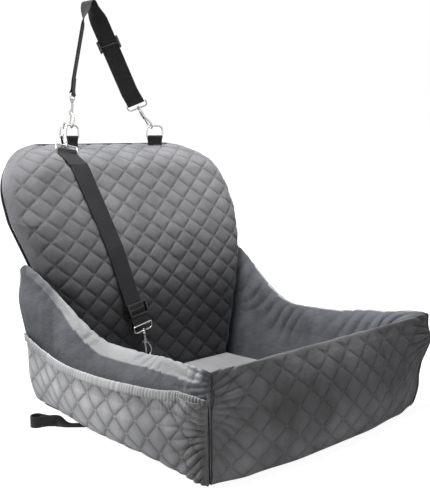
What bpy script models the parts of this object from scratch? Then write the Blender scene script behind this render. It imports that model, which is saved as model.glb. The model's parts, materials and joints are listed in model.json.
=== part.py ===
"""Dog car seat: padded bed with a backrest, side pockets, headrest strap and safety tether.

X points to the seat's right, Y to its back and Z up. The origin is under the middle of the base.
"""

from math import atan2, cos, pi, radians, sin, tan

import bmesh
import bpy
from mathutils import Matrix, Vector

# Clearances
GAP = 0.0003
SOFT_GAP = 0.0006
CUTTER_OVERRUN = 0.002

# Base
BASE_SIDE_MARGIN = 0.047
BASE_FRONT_MARGIN = 0.056
BASE_CORNER_RADIUS = 0.045
SHEET_THICKNESS = 0.0016
BOARD_THICKNESS = 0.0030
BOARD_INSET = 0.006

# Bed floor and walls
FLOOR_HALF_WIDTH = 0.189
FLOOR_FRONT = 0.200
FLOOR_TOP = 0.046
FLOOR_CROWN = 0.006
FLOOR_EDGE_ROUND = 0.012
FLOOR_EDGE_SHARE = 0.55
FLOOR_END_SHARE = 0.35
SIDE_LEAN_SHARE = 0.235
FRONT_LEAN_SHARE = 0.40
CORNER_LEAN_SHARE = 0.46
SIDE_HEIGHT = 0.162
FRONT_HEIGHT = 0.181
CORNER_HEIGHT = 0.186
ARM_HEIGHT = 0.276
RIDGE_ROUND = 0.010
SIDE_BULGE = 0.086
FRONT_BULGE = 0.110
CORNER_BULGE = 0.086
SIDE_FOOT = 0.050
SIDE_REAR_BULGE = 0.066
SIDE_REAR_FOOT = 0.042
FRONT_FOOT = 0.094
CORNER_FOOT = 0.074
CORNER_BLEND = 0.110
CORNER_SHARP_SHARE = 0.75
SEAM_HALF_GAP = 0.0002
QUILT_RISE = 0.0030
ARM_FRONT_SHARE = 0.4
WALL_INNER_SHARES = (0.0, 0.3, 0.6, 0.88)
WALL_CREST_SHARES = ((0.42, 0.10), (0.80, 0.28))
WALL_OUTER_SHARES = ((1.0, 0.42), (0.86, 0.2), (0.40, 0.045), (0.0, 0.0))
MITRE_SHARE = 0.0001

# Backrest
BACK_FOOT_Y = 0.252
BACK_BEND_Z = 0.262
LOWER_LEAN = radians(-1.0)
UPPER_LEAN = radians(25.5)
BACK_LOW_THICKNESS = 0.107
BACK_TOP_THICKNESS = 0.089
BACK_CROWN = 0.008
BACK_TOP = 0.492
BACK_MAX_HALF_WIDTH = 0.268
BACK_WIDEST_Z = 0.345
BACK_CORNER_RADIUS = 0.105
BACK_TOP_ROUND = 0.052
BACK_SIDE_ROUND = 0.045
BACK_REAR_INSET = 0.010
BACK_WIDENING_SHARE = 0.8
BACK_SIDE_SHARE = 0.45
BACK_TOP_SHARES = (0.42, 0.74, 0.93, 0.995)
PIPING_STANDOFF_SHARE = 1.15
PIPING_RADIUS = 0.0024

# Pockets
POCKET_THICKNESS = 0.0035
POCKET_ROOM = 0.0100
POCKET_MOUTH = 0.0120
POCKET_REAR_Y = 0.2219
HEM_REAR_HEIGHT = 0.134
HEM_LOW_HEIGHT = 0.107
HEM_FRONT_HEIGHT = 0.128
HEM_WIDTH = 0.011
HEM_THICKNESS = 0.0042
RUFFLE_RISE = 0.0012
POCKET_FAN_SHARE = 0.93
POCKET_END_SHARE = 0.6
POCKET_BELLY_SHARE = 0.7
POCKET_FOOT_SHARE = 0.08
HEM_UPPER_SHARE = 0.5
HEM_LOWER_SHARE = 0.6

# Webbing and its loops
WEBBING_WIDTH = 0.038
WEBBING_THICKNESS = 0.0016
LAYER_HALF_GAP = 0.0002
WEBBING_TAIL = 0.034
TETHER_TAIL = 0.011
TAB_CENTRE_X = 0.110
TAB_INSET = 0.049
TAB_SINK = 0.0044
TAB_LENGTH = 0.0174
RING_HEIGHT = 0.024
RING_WIRE_RADIUS = 0.00175
RING_CORNER = 0.005
LOOP_NECK_SHARE = 2.6

# Bolt snap
EYE_WIRE_RADIUS = 0.0019
EYE_HALF_WIDTH = 0.0222
EYE_BAR_HEIGHT = 0.0160
EYE_CORNER = 0.006
EYE_BAR_SHARE = 1.3
BOSS_RADIUS = 0.0048
BOSS_HEIGHT = 0.0050
STEM_RADIUS = 0.0019
HEAD_RADIUS = 0.0033
HEAD_HEIGHT = 0.0018
HEAD_TOP_SHARE = 0.7
BARREL_RADIUS = 0.0044
BARREL_LENGTH = 0.0260
BARREL_SHOULDER = 0.0035
BARREL_NECK_SHARE = 0.62
BORE_RADIUS = 0.0026
BORE_START = 0.0050
HOOK_WIRE_RADIUS = 0.0022
HOOK_REACH = 0.0130
HOOK_LENGTH = 0.0510
HOOK_WIRE_X = 0.0053
GATE_RADIUS = 0.0022
GATE_TOP = 0.0165
GATE_TRAVEL = 0.0055
GATE_TIP_SHARE = 0.6
KNOB_RADIUS = 0.0013
KNOB_HEAD_RADIUS = 0.0022
KNOB_REACH = 0.0072
KNOB_DROP = 0.0022
SPRING_WIRE_RADIUS = 0.0003
SPRING_RADIUS = 0.0019
SPRING_TURNS = 5

# Headrest strap
STRAP_HOOK_X_LEFT = -0.105
STRAP_HOOK_X_RIGHT = 0.097
STRAP_LEFT_LEAN = (0.120, -0.02, 0.992)
STRAP_RIGHT_LEAN = (-0.610, -0.05, 0.791)
STRAP_APEX_X = -0.060
STRAP_APEX_SETBACK = 0.005
STRAP_RISE = 0.247
STRAP_APEX_HALF_SPREAD = 0.0055
STRAP_BEND_LENGTH = 0.026
LEFT_WIDTH_DIRECTION = (0.684, 0.729, 0.0)
RIGHT_WIDTH_DIRECTION = (-0.729, 0.684, 0.0)
STRAP_TWIST_LENGTH = 0.040
STRAP_SLIDER_SHARE = 0.45

# Tether
TETHER_HOOK_X = -0.1215
TETHER_UPPER_LEAN = (0.285, 0.620, 0.730)
TETHER_TOP_WIDTH = (1.0, -0.10, 0.0)
TETHER_BEND_RISE = 0.008
TETHER_TOP_DROP = 0.047
TETHER_TOP_X = -0.134
TETHER_FOOT_X = -0.080
TETHER_EYE_Z = 0.150
TETHER_CLEARANCE = 0.0046
TETHER_SLOPE_SHARE = 0.27
TETHER_SLIDER_RISE = 0.018
TETHER_HANG = radians(17.0)
TETHER_BROW_SHARE = 0.6
TETHER_RUN_SHARES = (0.4, 0.85)

# Slider
SLIDER_BAR_RADIUS = 0.0015
SLIDER_HALF_HEIGHT = 0.011
SLIDER_SIDE_GAP = 0.0008

# Anchor loop
ANCHOR_WIDTH = 0.020
ANCHOR_THICKNESS = 0.0016
ANCHOR_FLOOR_GAP = 0.0004
ANCHOR_START_Y = 0.066
ANCHOR_HEADING = radians(41.0)
ANCHOR_RUN = 0.066
ANCHOR_FLAT_SHARE = 0.42
ANCHOR_LOOP_RADIUS = 0.011
ANCHOR_TAIL_GAP = 0.0024

# Counts
SIDE_STATIONS = 15
CORNER_STATIONS = 3
FRONT_STATIONS = 21
BACK_COLUMNS = 18
BACK_LOW_ROWS = 11
BACK_HIGH_ROWS = 7
FLOOR_COLUMNS = 12
FLOOR_ROWS = 12
ROUND_SIDES = 12
SMOOTH_CLOTH_ANGLE = radians(50.0)
SMOOTH_METAL_ANGLE = radians(35.0)
POCKET_ROWS = 7
POCKET_STATIONS = 18
POCKET_FAN_STATIONS = 3
WALL_SAMPLES = 40
OUTLINE_SAMPLES = 60

# Finishes: colour, roughness, metallic
VELVET = ((0.20, 0.20, 0.21), 0.9, 0.0)
LIGHT_VELVET = ((0.34, 0.34, 0.35), 0.9, 0.0)
DARK_VELVET = ((0.12, 0.12, 0.13), 0.9, 0.0)
BLACK_FABRIC = ((0.015, 0.015, 0.016), 0.85, 0.0)
BLACK_WEBBING = ((0.02, 0.02, 0.02), 0.7, 0.0)
BLACK_PLASTIC = ((0.012, 0.012, 0.012), 0.35, 0.0)
NICKEL = ((0.72, 0.71, 0.69), 0.2, 1.0)
SPRING_STEEL = ((0.5, 0.5, 0.5), 0.3, 1.0)
BOARD = ((0.05, 0.05, 0.05), 0.6, 0.0)


def clear_scene():
    for obj in list(bpy.data.objects):
        bpy.data.objects.remove(obj, do_unlink=True)


def finish_material(name, finish):
    colour, roughness, metallic = finish
    material = bpy.data.materials.new(name)
    material.use_nodes = True
    shader = material.node_tree.nodes["Principled BSDF"]
    shader.inputs["Base Color"].default_value = (*colour, 1.0)
    shader.inputs["Roughness"].default_value = roughness
    shader.inputs["Metallic"].default_value = metallic
    return material


def add_object(name, mesh, finish, frame=None, parent=None):
    obj = bpy.data.objects.new(name, mesh)
    bpy.context.scene.collection.objects.link(obj)
    if not mesh.materials:
        mesh.materials.append(finish_material(name, finish))
    else:
        obj.material_slots[0].link = "OBJECT"
        obj.material_slots[0].material = finish_material(name, finish)
    if parent:
        obj.parent = parent
        obj.matrix_parent_inverse = parent.matrix_basis.inverted()
    if frame:
        obj.matrix_basis = frame
    return obj


def add_pivot(name, place, parent=None):
    pivot = bpy.data.objects.new(name, None)
    bpy.context.scene.collection.objects.link(pivot)
    if parent:
        pivot.parent = parent
        pivot.matrix_parent_inverse = parent.matrix_basis.inverted()
    pivot.matrix_basis = Matrix.Translation(place)
    return pivot


def mix(a, b, share):
    return a + (b - a) * share


def smooth(share):
    share = min(max(share, 0.0), 1.0)
    return share * share * (3.0 - 2.0 * share)


def curve_through(points, count):
    """Evenly spaced points on a smooth curve through the given points, ends included."""
    ends = [points[0] * 2 - points[1]] + list(points) + [points[-1] * 2 - points[-2]]
    dense = []
    steps = 12
    for i in range(1, len(ends) - 2):
        for step in range(steps):
            t = step / steps
            a, b, c, d = ends[i - 1], ends[i], ends[i + 1], ends[i + 2]
            dense.append(0.5 * (b * 2 + (c - a) * t + (a * 2 - b * 5 + c * 4 - d) * t * t
                                + (b * 3 - a - c * 3 + d) * t * t * t))
    dense.append(points[-1].copy())
    return even_points(dense, count)


def even_points(path, count):
    lengths = [0.0]
    for a, b in zip(path, path[1:]):
        lengths.append(lengths[-1] + (b - a).length)
    result = []
    index = 0
    for k in range(count):
        target = lengths[-1] * k / (count - 1)
        while index < len(path) - 2 and lengths[index + 1] < target:
            index += 1
        share = (target - lengths[index]) / (lengths[index + 1] - lengths[index])
        result.append(path[index].lerp(path[index + 1], share))
    return result


def loft(name, rings, quilted=None):
    """Closed body through rings of points, capped at both ends.

    quilted is a set of ring positions whose cells are split along the sewn channels.
    """
    bm = bmesh.new()
    rows = [[bm.verts.new(point) for point in ring] for ring in rings]
    count = len(rings[0])
    for i, (low, high) in enumerate(zip(rows, rows[1:])):
        for j in range(count):
            k = (j + 1) % count
            a, b, c, d = low[j], low[k], high[k], high[j]
            if quilted and j in quilted and k in quilted:
                if (i + j) % 2 == 0:
                    bm.faces.new((a, b, c))
                    bm.faces.new((a, c, d))
                else:
                    bm.faces.new((a, b, d))
                    bm.faces.new((b, c, d))
            else:
                bm.faces.new((a, b, c, d))
    for row in (rows[0], rows[-1]):
        centre = bm.verts.new(sum((v.co for v in row), Vector()) / count)
        for j in range(count):
            bm.faces.new((row[j], row[(j + 1) % count], centre))
    bmesh.ops.recalc_face_normals(bm, faces=bm.faces)
    mesh = bpy.data.meshes.new(name)
    bm.to_mesh(mesh)
    bm.free()
    mesh.shade_smooth()
    mesh.set_sharp_from_angle(angle=SMOOTH_CLOTH_ANGLE)
    return mesh


def tube(name, points, radius, sides=8, closed=False):
    """Round wire along a path, as a mesh with filled ends."""
    count = len(points)
    rings = []
    normal = None
    for i, point in enumerate(points):
        before = points[i - 1] if i or closed else points[0]
        after = points[(i + 1) % count] if i < count - 1 or closed else points[-1]
        tangent = (after - before).normalized()
        if normal is None:
            normal = tangent.orthogonal().normalized()
        normal = (normal - tangent * normal.dot(tangent)).normalized()
        side = tangent.cross(normal)
        turns = [2 * pi * k / sides for k in range(sides)]
        rings.append([point + (normal * cos(a) + side * sin(a)) * radius for a in turns])
    if not closed:
        return loft(name, rings)
    bm = bmesh.new()
    rows = [[bm.verts.new(p) for p in ring] for ring in rings]
    for i in range(count):
        low, high = rows[i], rows[(i + 1) % count]
        shift = 0
        if i == count - 1:
            shift = min(range(sides), key=lambda s: (high[s].co - low[0].co).length)
        for j in range(sides):
            k = (j + 1) % sides
            bm.faces.new((low[j], low[k], high[(k + shift) % sides], high[(j + shift) % sides]))
    bmesh.ops.recalc_face_normals(bm, faces=bm.faces)
    mesh = bpy.data.meshes.new(name)
    bm.to_mesh(mesh)
    bm.free()
    mesh.shade_smooth()
    return mesh


def revolve(name, profile, sides=ROUND_SIDES):
    """Body turned about Z from an open profile of (radius, height) that starts and ends on the axis."""
    bm = bmesh.new()
    rows = []
    for radius, height in profile:
        if radius == 0:
            rows.append([bm.verts.new((0, 0, height))])
            continue
        turns = [2 * pi * k / sides for k in range(sides)]
        rows.append([bm.verts.new((radius * cos(a), radius * sin(a), height)) for a in turns])
    for low, high in zip(rows, rows[1:]):
        for j in range(sides):
            k = (j + 1) % sides
            if len(low) == 1:
                bm.faces.new((low[0], high[j], high[k]))
            elif len(high) == 1:
                bm.faces.new((low[j], low[k], high[0]))
            else:
                bm.faces.new((low[j], low[k], high[k], high[j]))
    bmesh.ops.recalc_face_normals(bm, faces=bm.faces)
    mesh = bpy.data.meshes.new(name)
    bm.to_mesh(mesh)
    bm.free()
    mesh.shade_smooth()
    mesh.set_sharp_from_angle(angle=SMOOTH_METAL_ANGLE)
    return mesh


def combined(name, base, others):
    """One mesh from a base mesh and a list of (mesh, Boolean operation)."""
    body = bpy.data.objects.new(name, base)
    bpy.context.scene.collection.objects.link(body)
    helpers = []
    for mesh, operation in others:
        helper = bpy.data.objects.new(name + "_tool", mesh)
        bpy.context.scene.collection.objects.link(helper)
        helper.hide_render = True
        helper.display_type = "WIRE"
        modifier = body.modifiers.new(operation, "BOOLEAN")
        modifier.operation = operation
        modifier.solver = "EXACT"
        modifier.object = helper
        helpers.append(helper)
    graph = bpy.context.evaluated_depsgraph_get()
    result = bpy.data.meshes.new_from_object(body.evaluated_get(graph))
    result.name = name
    for helper in helpers + [body]:
        bpy.data.objects.remove(helper, do_unlink=True)
    result.shade_smooth()
    result.set_sharp_from_angle(angle=SMOOTH_METAL_ANGLE)
    return result


def block(name, low, high):
    bm = bmesh.new()
    bmesh.ops.create_cube(bm, size=1.0)
    centre = (Vector(low) + Vector(high)) / 2
    size = Vector(high) - Vector(low)
    placed = Matrix.Translation(centre) @ Matrix.Diagonal((*size, 1.0))
    bmesh.ops.transform(bm, matrix=placed, verts=bm.verts)
    mesh = bpy.data.meshes.new(name)
    bm.to_mesh(mesh)
    bm.free()
    return mesh


def frame_at(place, z_axis, x_hint):
    """Frame whose Z is z_axis and whose X is x_hint made square to it."""
    z = Vector(z_axis).normalized()
    x = Vector(x_hint)
    x = (x - z * x.dot(z)).normalized()
    y = z.cross(x)
    frame = Matrix((x, y, z)).transposed().to_4x4()
    frame.translation = place
    return frame


BASE_TOP = SHEET_THICKNESS + BOARD_THICKNESS + 2 * GAP
BASE_HALF_WIDTH = FLOOR_HALF_WIDTH + BASE_SIDE_MARGIN
BASE_HALF_DEPTH = FLOOR_FRONT + BASE_FRONT_MARGIN
TAB_FOOT_Z = BACK_TOP - TAB_SINK
RING_BAR_Z = TAB_FOOT_Z + TAB_LENGTH
RING_TOP_Z = RING_BAR_Z + RING_HEIGHT


def rounded_plate(name, half_width, half_depth, radius, low, high):
    arc_steps = 5
    outline = []
    for sx, sy, start in ((1, -1, -90), (1, 1, 0), (-1, 1, 90), (-1, -1, 180)):
        for k in range(arc_steps + 1):
            turn = radians(start + 90 * k / arc_steps)
            outline.append(Vector((sx * (half_width - radius) + radius * cos(turn),
                                   sy * (half_depth - radius) + radius * sin(turn), 0)))
    rings = [[Vector((p.x, p.y, z)) for p in outline] for z in (low, high)]
    return loft(name, rings)


def make_base():
    sheet = rounded_plate("base_sheet", BASE_HALF_WIDTH, BASE_HALF_DEPTH, BASE_CORNER_RADIUS,
                          0, SHEET_THICKNESS)
    add_object("base_sheet", sheet, BLACK_FABRIC)
    board = rounded_plate("base_board", BASE_HALF_WIDTH - BOARD_INSET, BASE_HALF_DEPTH - BOARD_INSET,
                          BASE_CORNER_RADIUS - BOARD_INSET, SHEET_THICKNESS + GAP, BASE_TOP - GAP)
    add_object("base_board", board, BOARD)


def arm_height(y):
    """Height of the side wall's ridge at a place along the seat."""
    rear = smooth(y / (BACK_FOOT_Y)) if y > 0 else 0.0
    front = smooth(-y / FLOOR_FRONT) if y < 0 else 0.0
    to_front = (FRONT_HEIGHT - SIDE_HEIGHT) * ARM_FRONT_SHARE
    return SIDE_HEIGHT + (ARM_HEIGHT - SIDE_HEIGHT) * rear + to_front * front


def wall_station(along):
    """Wall shape values at a station: side run, corner fan, then front run to the middle."""
    kind, value = along
    if kind == "side":
        near = smooth(1 - (value + FLOOR_FRONT) / CORNER_BLEND)
        corner = 0.5 * near
        place = Vector((FLOOR_HALF_WIDTH, value, 0))
        return place, Vector((1, 0, 0)), 1.0, "side", corner, arm_height(value)
    if kind == "front":
        near = smooth(1 - (FLOOR_HALF_WIDTH - abs(value)) / CORNER_BLEND)
        place = Vector((value, -FLOOR_FRONT, 0))
        return place, Vector((0, -1, 0)), 1.0, "front", 0.5 * near, FRONT_HEIGHT
    turn = value
    from_side = turn < pi / 4
    nearest = turn if from_side else pi / 2 - turn
    corner = 0.5 + 0.5 * smooth(nearest / (pi / 4))
    stretch = 1 + CORNER_SHARP_SHARE * (1 / cos(nearest) - 1)
    place = Vector((FLOOR_HALF_WIDTH, -FLOOR_FRONT, 0))
    outward = Vector((cos(turn), -sin(turn), 0))
    height = arm_height(-FLOOR_FRONT) if from_side else FRONT_HEIGHT
    return place, outward, stretch, "side" if from_side else "front", corner, height


def wall_values(kind, corner, height, taper):
    if kind == "side":
        lean, bulge, foot = SIDE_LEAN_SHARE, SIDE_BULGE, SIDE_FOOT
    else:
        lean, bulge, foot = FRONT_LEAN_SHARE, FRONT_BULGE, FRONT_FOOT
    bulge = mix(bulge, SIDE_REAR_BULGE, taper)
    foot = mix(foot, SIDE_REAR_FOOT, taper)
    lean = mix(lean, CORNER_LEAN_SHARE, corner)
    bulge = mix(bulge, CORNER_BULGE, corner)
    foot = mix(foot, CORNER_FOOT, corner)
    height = mix(height, CORNER_HEIGHT, corner)
    return lean, bulge, foot, height


def wall_outline(kind, corner, height, taper):
    """Wall section from its inner foot over the ridge to its outer foot, as (outward, height)."""
    lean, bulge, foot, top = wall_values(kind, corner, height, taper)
    rise = top - BASE_TOP
    ridge = lean * rise + RIDGE_ROUND
    belly = max(bulge - ridge, RIDGE_ROUND)
    inner = [Vector((lean * rise * share, BASE_TOP + rise * share, 0)) for share in WALL_INNER_SHARES]
    crest = [Vector((ridge, top, 0))]
    crest += [Vector((ridge + out * belly, top - down * rise, 0)) for out, down in WALL_CREST_SHARES]
    outer = [Vector((mix(foot, bulge, out), BASE_TOP + up * rise, 0)) for out, up in WALL_OUTER_SHARES]
    return inner + crest + outer


def wall_points(station, inner_count, outer_count):
    place, outward, stretch, kind, corner, height = wall_station(station)
    taper = smooth(place.y / BACK_FOOT_Y) if kind == "side" else 0.0
    outline = curve_through(wall_outline(kind, corner, height, taper), OUTLINE_SAMPLES)
    split = max(range(OUTLINE_SAMPLES), key=lambda i: outline[i].y)
    inner = even_points(outline[:split + 1], inner_count)
    outer = even_points(outline[split:], outer_count)
    points = inner + outer[1:]
    result = [place + outward * (p.x * stretch) + Vector((0, 0, p.y)) for p in points]
    result[0].z = BASE_TOP
    result[-1].z = BASE_TOP
    return result


def outer_normals(rows):
    """Outward direction at each point of a grid of points."""
    normals = []
    for i, row in enumerate(rows):
        line = []
        for j in range(len(row)):
            a = rows[max(i - 1, 0)][j]
            b = rows[min(i + 1, len(rows) - 1)][j]
            c = row[max(j - 1, 0)]
            d = row[min(j + 1, len(row) - 1)]
            line.append((b - a).cross(d - c).normalized())
        normals.append(line)
    return normals


def side_stations():
    rear = BACK_FOOT_Y
    runs = [("side", mix(rear, -FLOOR_FRONT, i / SIDE_STATIONS)) for i in range(SIDE_STATIONS + 1)]
    fan = [("fan", pi / 4 * (i + 1) / CORNER_STATIONS) for i in range(CORNER_STATIONS)]
    fan[-1] = ("fan", pi / 4 * (1 - MITRE_SHARE))
    return runs + fan


def front_stations():
    half = [("fan", pi / 4 * (1 + MITRE_SHARE))]
    half += [("fan", pi / 4 * (1 + i / CORNER_STATIONS)) for i in range(1, CORNER_STATIONS)]
    runs = [("front", mix(FLOOR_HALF_WIDTH, -FLOOR_HALF_WIDTH, i / (FRONT_STATIONS - 1)))
            for i in range(FRONT_STATIONS)]
    return half, runs


def flip_x(points):
    return [Vector((-p.x, p.y, p.z)) for p in points]


def seam_shift(points, direction):
    return [p + direction * SEAM_HALF_GAP for p in points]


def closed_ring(points, inset_steps=2):
    """Adds the flat bottom between the outer and inner foot."""
    a, b = points[-1], points[0]
    return points + [a.lerp(b, k / (inset_steps + 1)) for k in range(1, inset_steps + 1)]


def make_side_bolster(side, mirror):
    inner_count, outer_count = 6, 8
    stations = side_stations()
    rings = [wall_points(s, inner_count, outer_count) for s in stations]
    rings[-1] = seam_shift(rings[-1], Vector((1, 1, 0)).normalized())
    rings = [closed_ring(ring) for ring in rings]
    if mirror:
        rings = [flip_x(ring) for ring in rings]
    add_object("side_bolster_" + side, loft("side_bolster_" + side, rings), DARK_VELVET)


def make_front_bolster():
    inner_count, outer_count = 6, 10
    half, runs = front_stations()
    right = [wall_points(s, inner_count, outer_count) for s in half]
    right[0] = seam_shift(right[0], Vector((-1, -1, 0)).normalized())
    middle = [wall_points(s, inner_count, outer_count) for s in runs]
    left = [flip_x(ring) for ring in reversed(right)]
    rings = right + middle + left
    normals = outer_normals(rings)
    first, last = inner_count, inner_count + outer_count - 2
    quilted = []
    for i, ring in enumerate(rings):
        line = []
        for j, point in enumerate(ring):
            raised = first <= j < last and (i + j) % 2 == 1 and 0 < i < len(rings) - 1
            line.append(point + normals[i][j] * (-QUILT_RISE if raised else 0.0))
        quilted.append(closed_ring(line))
    cells = set(range(first - 1, last + 1))
    add_object("front_bolster", loft("front_bolster", quilted, cells), DARK_VELVET)


def back_rear_y(z):
    low = BACK_FOOT_Y + tan(LOWER_LEAN) * min(z, BACK_BEND_Z)
    return low + tan(UPPER_LEAN) * max(z - BACK_BEND_Z, 0.0)


def back_thickness(z):
    return mix(BACK_LOW_THICKNESS, BACK_TOP_THICKNESS, min(z / BACK_BEND_Z, 1.0))


def back_face_y(z):
    """Front face of the backrest padding at its middle."""
    return back_rear_y(z) - back_thickness(z) - BACK_CROWN


def back_half_width(z):
    """Half width of the backrest: it fills the space between the arms and flares above them."""
    if z < BACK_WIDEST_Z:
        low = FLOOR_HALF_WIDTH + SIDE_LEAN_SHARE * (z - BASE_TOP) - SOFT_GAP * 3
        high = BACK_MAX_HALF_WIDTH
        start = BACK_BEND_Z * BACK_WIDENING_SHARE
        return min(low, mix(low, high, smooth((z - start) / (BACK_WIDEST_Z - start))))
    corner_z = BACK_TOP - BACK_CORNER_RADIUS
    if z < corner_z:
        return BACK_MAX_HALF_WIDTH
    share = min((z - corner_z) / BACK_CORNER_RADIUS, 1.0)
    return BACK_MAX_HALF_WIDTH - BACK_CORNER_RADIUS * (1 - max(1 - share * share, 0.0) ** 0.5)


PANEL_TOP = BACK_TOP - BACK_REAR_INSET
TAB_Y = back_rear_y(BACK_TOP) - TAB_INSET
TETHER_BEND_Z = BACK_BEND_Z + TETHER_BEND_RISE
TETHER_TOP_Z = BACK_TOP - TETHER_TOP_DROP
LAYER_OFFSET = WEBBING_THICKNESS / 2 + LAYER_HALF_GAP
RING_HALF_WIDTH = WEBBING_WIDTH / 2 + RING_WIRE_RADIUS + SLIDER_SIDE_GAP
KNOB_Z = -(GATE_TOP + KNOB_DROP)
SPRING_TOP = -(BORE_START + GAP)
SPRING_FOOT = -(GATE_TOP - GAP)


def back_levels():
    foot = BASE_TOP + SOFT_GAP
    shoulder = BACK_TOP - BACK_TOP_ROUND
    rows = [mix(foot, BACK_BEND_Z, i / BACK_LOW_ROWS) for i in range(BACK_LOW_ROWS)]
    rows += [mix(BACK_BEND_Z, shoulder, i / BACK_HIGH_ROWS) for i in range(BACK_HIGH_ROWS + 1)]
    return rows + [shoulder + BACK_TOP_ROUND * share for share in BACK_TOP_SHARES]


def back_front_y(z, side_share_room):
    """Front surface of the backrest: crowned, rolled back at its sides and over the top."""
    rear = back_rear_y(z)
    face = back_face_y(z)
    over = max((z - (BACK_TOP - BACK_TOP_ROUND)) / BACK_TOP_ROUND, 0.0)
    top_shrink = max(1 - over * over, 0.0) ** 0.5
    edge = rear - BACK_REAR_INSET
    depth = (edge - face) * top_shrink * side_share_room
    return edge - depth


def back_ring(index, z):
    half = back_half_width(z)
    rear = back_rear_y(z)
    ring = []
    for j in range(BACK_COLUMNS + 1):
        x = -half + 2 * half * j / BACK_COLUMNS
        over = max((abs(x) - (half - BACK_SIDE_ROUND)) / BACK_SIDE_ROUND, 0.0)
        room = mix(BACK_SIDE_SHARE, 1.0, max(1 - over * over, 0.0) ** 0.5)
        y = back_front_y(z, room)
        low_rows = index < BACK_LOW_ROWS + BACK_HIGH_ROWS
        if low_rows and 0 < j < BACK_COLUMNS and (index + j) % 2 == 0:
            y += QUILT_RISE
        ring.append(Vector((x, y, z)))
    inner = half - BACK_REAR_INSET
    ring += [Vector((x * inner, rear, z)) for x in (1.0, 0.5, 0.0, -0.5, -1.0)]
    return ring


def make_back():
    rings = [back_ring(i, z) for i, z in enumerate(back_levels())]
    cells = set(range(BACK_COLUMNS + 1))
    add_object("back_cushion", loft("back_cushion", rings, cells), VELVET)
    make_rear_panel("back_board", GAP, BOARD_THICKNESS, BOARD_INSET, BOARD)
    make_rear_panel("back_rear_cover", 2 * GAP + BOARD_THICKNESS, SHEET_THICKNESS, 0.0, BLACK_FABRIC)
    make_piping()


def panel_levels(inset):
    foot = BASE_TOP + SOFT_GAP + inset
    top = PANEL_TOP - inset
    corner = top - BACK_CORNER_RADIUS
    low = [mix(foot, BACK_BEND_Z, k / 3) for k in range(3)]
    high = [mix(BACK_BEND_Z, corner, k / 3) for k in range(3)]
    arc = [corner + (top - corner) * sin(pi / 2 * k / 6) for k in range(7)]
    return low + high + arc


def panel_half_width(z, inset):
    stretched = z + (BACK_TOP - PANEL_TOP + inset) * smooth((z - BACK_BEND_Z) / (PANEL_TOP - BACK_BEND_Z))
    return back_half_width(stretched) - BACK_REAR_INSET - PIPING_RADIUS - inset


def make_rear_panel(name, start, thickness, inset, finish):
    rings = []
    for z in panel_levels(inset):
        half = panel_half_width(z, inset)
        y = back_rear_y(z) + start
        rings.append([Vector((-half, y, z)), Vector((half, y, z)),
                      Vector((half, y + thickness, z)), Vector((-half, y + thickness, z))])
    add_object(name, loft(name, rings), finish)


def make_piping():
    """Piping round the edge of the rear panel, from one foot over the top to the other."""
    reach = PIPING_RADIUS + SOFT_GAP
    behind = reach / cos(UPPER_LEAN)
    edge = [Vector((panel_half_width(z, 0.0), z)) for z in panel_levels(0.0)] + [Vector((0, PANEL_TOP))]
    side = []
    for i, point in enumerate(edge[:-1]):
        along = (edge[i + 1] - edge[i]).normalized() + (edge[i] - edge[max(i - 1, 0)]).normalized()
        out = Vector((along.y, -along.x)).normalized()
        place = point + out * reach * PIPING_STANDOFF_SHARE
        side.append(Vector((place.x, back_rear_y(place.y) + behind, place.y)))
    top = PANEL_TOP + reach * PIPING_STANDOFF_SHARE
    path = side + [Vector((0, back_rear_y(top) + behind, top))] + flip_x(reversed(side))
    add_object("back_piping", tube("back_piping", path, PIPING_RADIUS, sides=6), BLACK_FABRIC)


def floor_ring(y, crown_share):
    """Cross-section of the floor cushion, its bottom flat and its sides drawn in."""
    foot = BASE_TOP + SOFT_GAP
    top = FLOOR_TOP + FLOOR_CROWN * crown_share
    ring = []
    half = FLOOR_HALF_WIDTH - SOFT_GAP
    for j in range(FLOOR_COLUMNS + 1):
        x = -half + 2 * half * j / FLOOR_COLUMNS
        edge = smooth((half - abs(x)) / (FLOOR_EDGE_ROUND * 3))
        rim = mix(foot, FLOOR_TOP, FLOOR_EDGE_SHARE)
        z = mix(rim, top, edge * min(crown_share * 3 + FLOOR_END_SHARE, 1.0))
        ring.append(Vector((x, y, z)))
    flat = half - FLOOR_EDGE_ROUND / 2
    ring += [Vector((flat * share, y, foot)) for share in (1.0, 1 / 3, -1 / 3, -1.0)]
    return ring


def make_floor():
    front = -FLOOR_FRONT + SOFT_GAP
    rear = back_rear_y(0) - BACK_LOW_THICKNESS - BACK_CROWN - QUILT_RISE - SOFT_GAP
    rings = []
    for i in range(FLOOR_ROWS + 1):
        share = i / FLOOR_ROWS
        y = mix(front, rear, share)
        rings.append(floor_ring(y, sin(pi * share) ** 0.5 if 0 < i < FLOOR_ROWS else 0.0))
    add_object("floor_cushion", loft("floor_cushion", rings), LIGHT_VELVET)


def hem_height(y):
    """Height of the pocket's hem along the side."""
    middle = (POCKET_REAR_Y - FLOOR_FRONT) / 2
    if y > middle:
        share = (y - middle) / (POCKET_REAR_Y - middle)
        return mix(HEM_LOW_HEIGHT, HEM_REAR_HEIGHT, share * share)
    share = (middle - y) / (middle + FLOOR_FRONT)
    return mix(HEM_LOW_HEIGHT, HEM_FRONT_HEIGHT, min(share * share, 1.0))


def pocket_stations():
    count = POCKET_STATIONS - POCKET_FAN_STATIONS
    runs = [("side", mix(POCKET_REAR_Y, -FLOOR_FRONT, i / (count - 1))) for i in range(count)]
    reach = pi / 4 * POCKET_FAN_SHARE
    fan = [("fan", reach * (i + 1) / POCKET_FAN_STATIONS) for i in range(POCKET_FAN_STATIONS)]
    return runs + fan


def outer_wall(station):
    """Outer side of the wall, finely sampled from its ridge down to its foot."""
    return wall_points(station, 2, WALL_SAMPLES)[1:]


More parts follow.
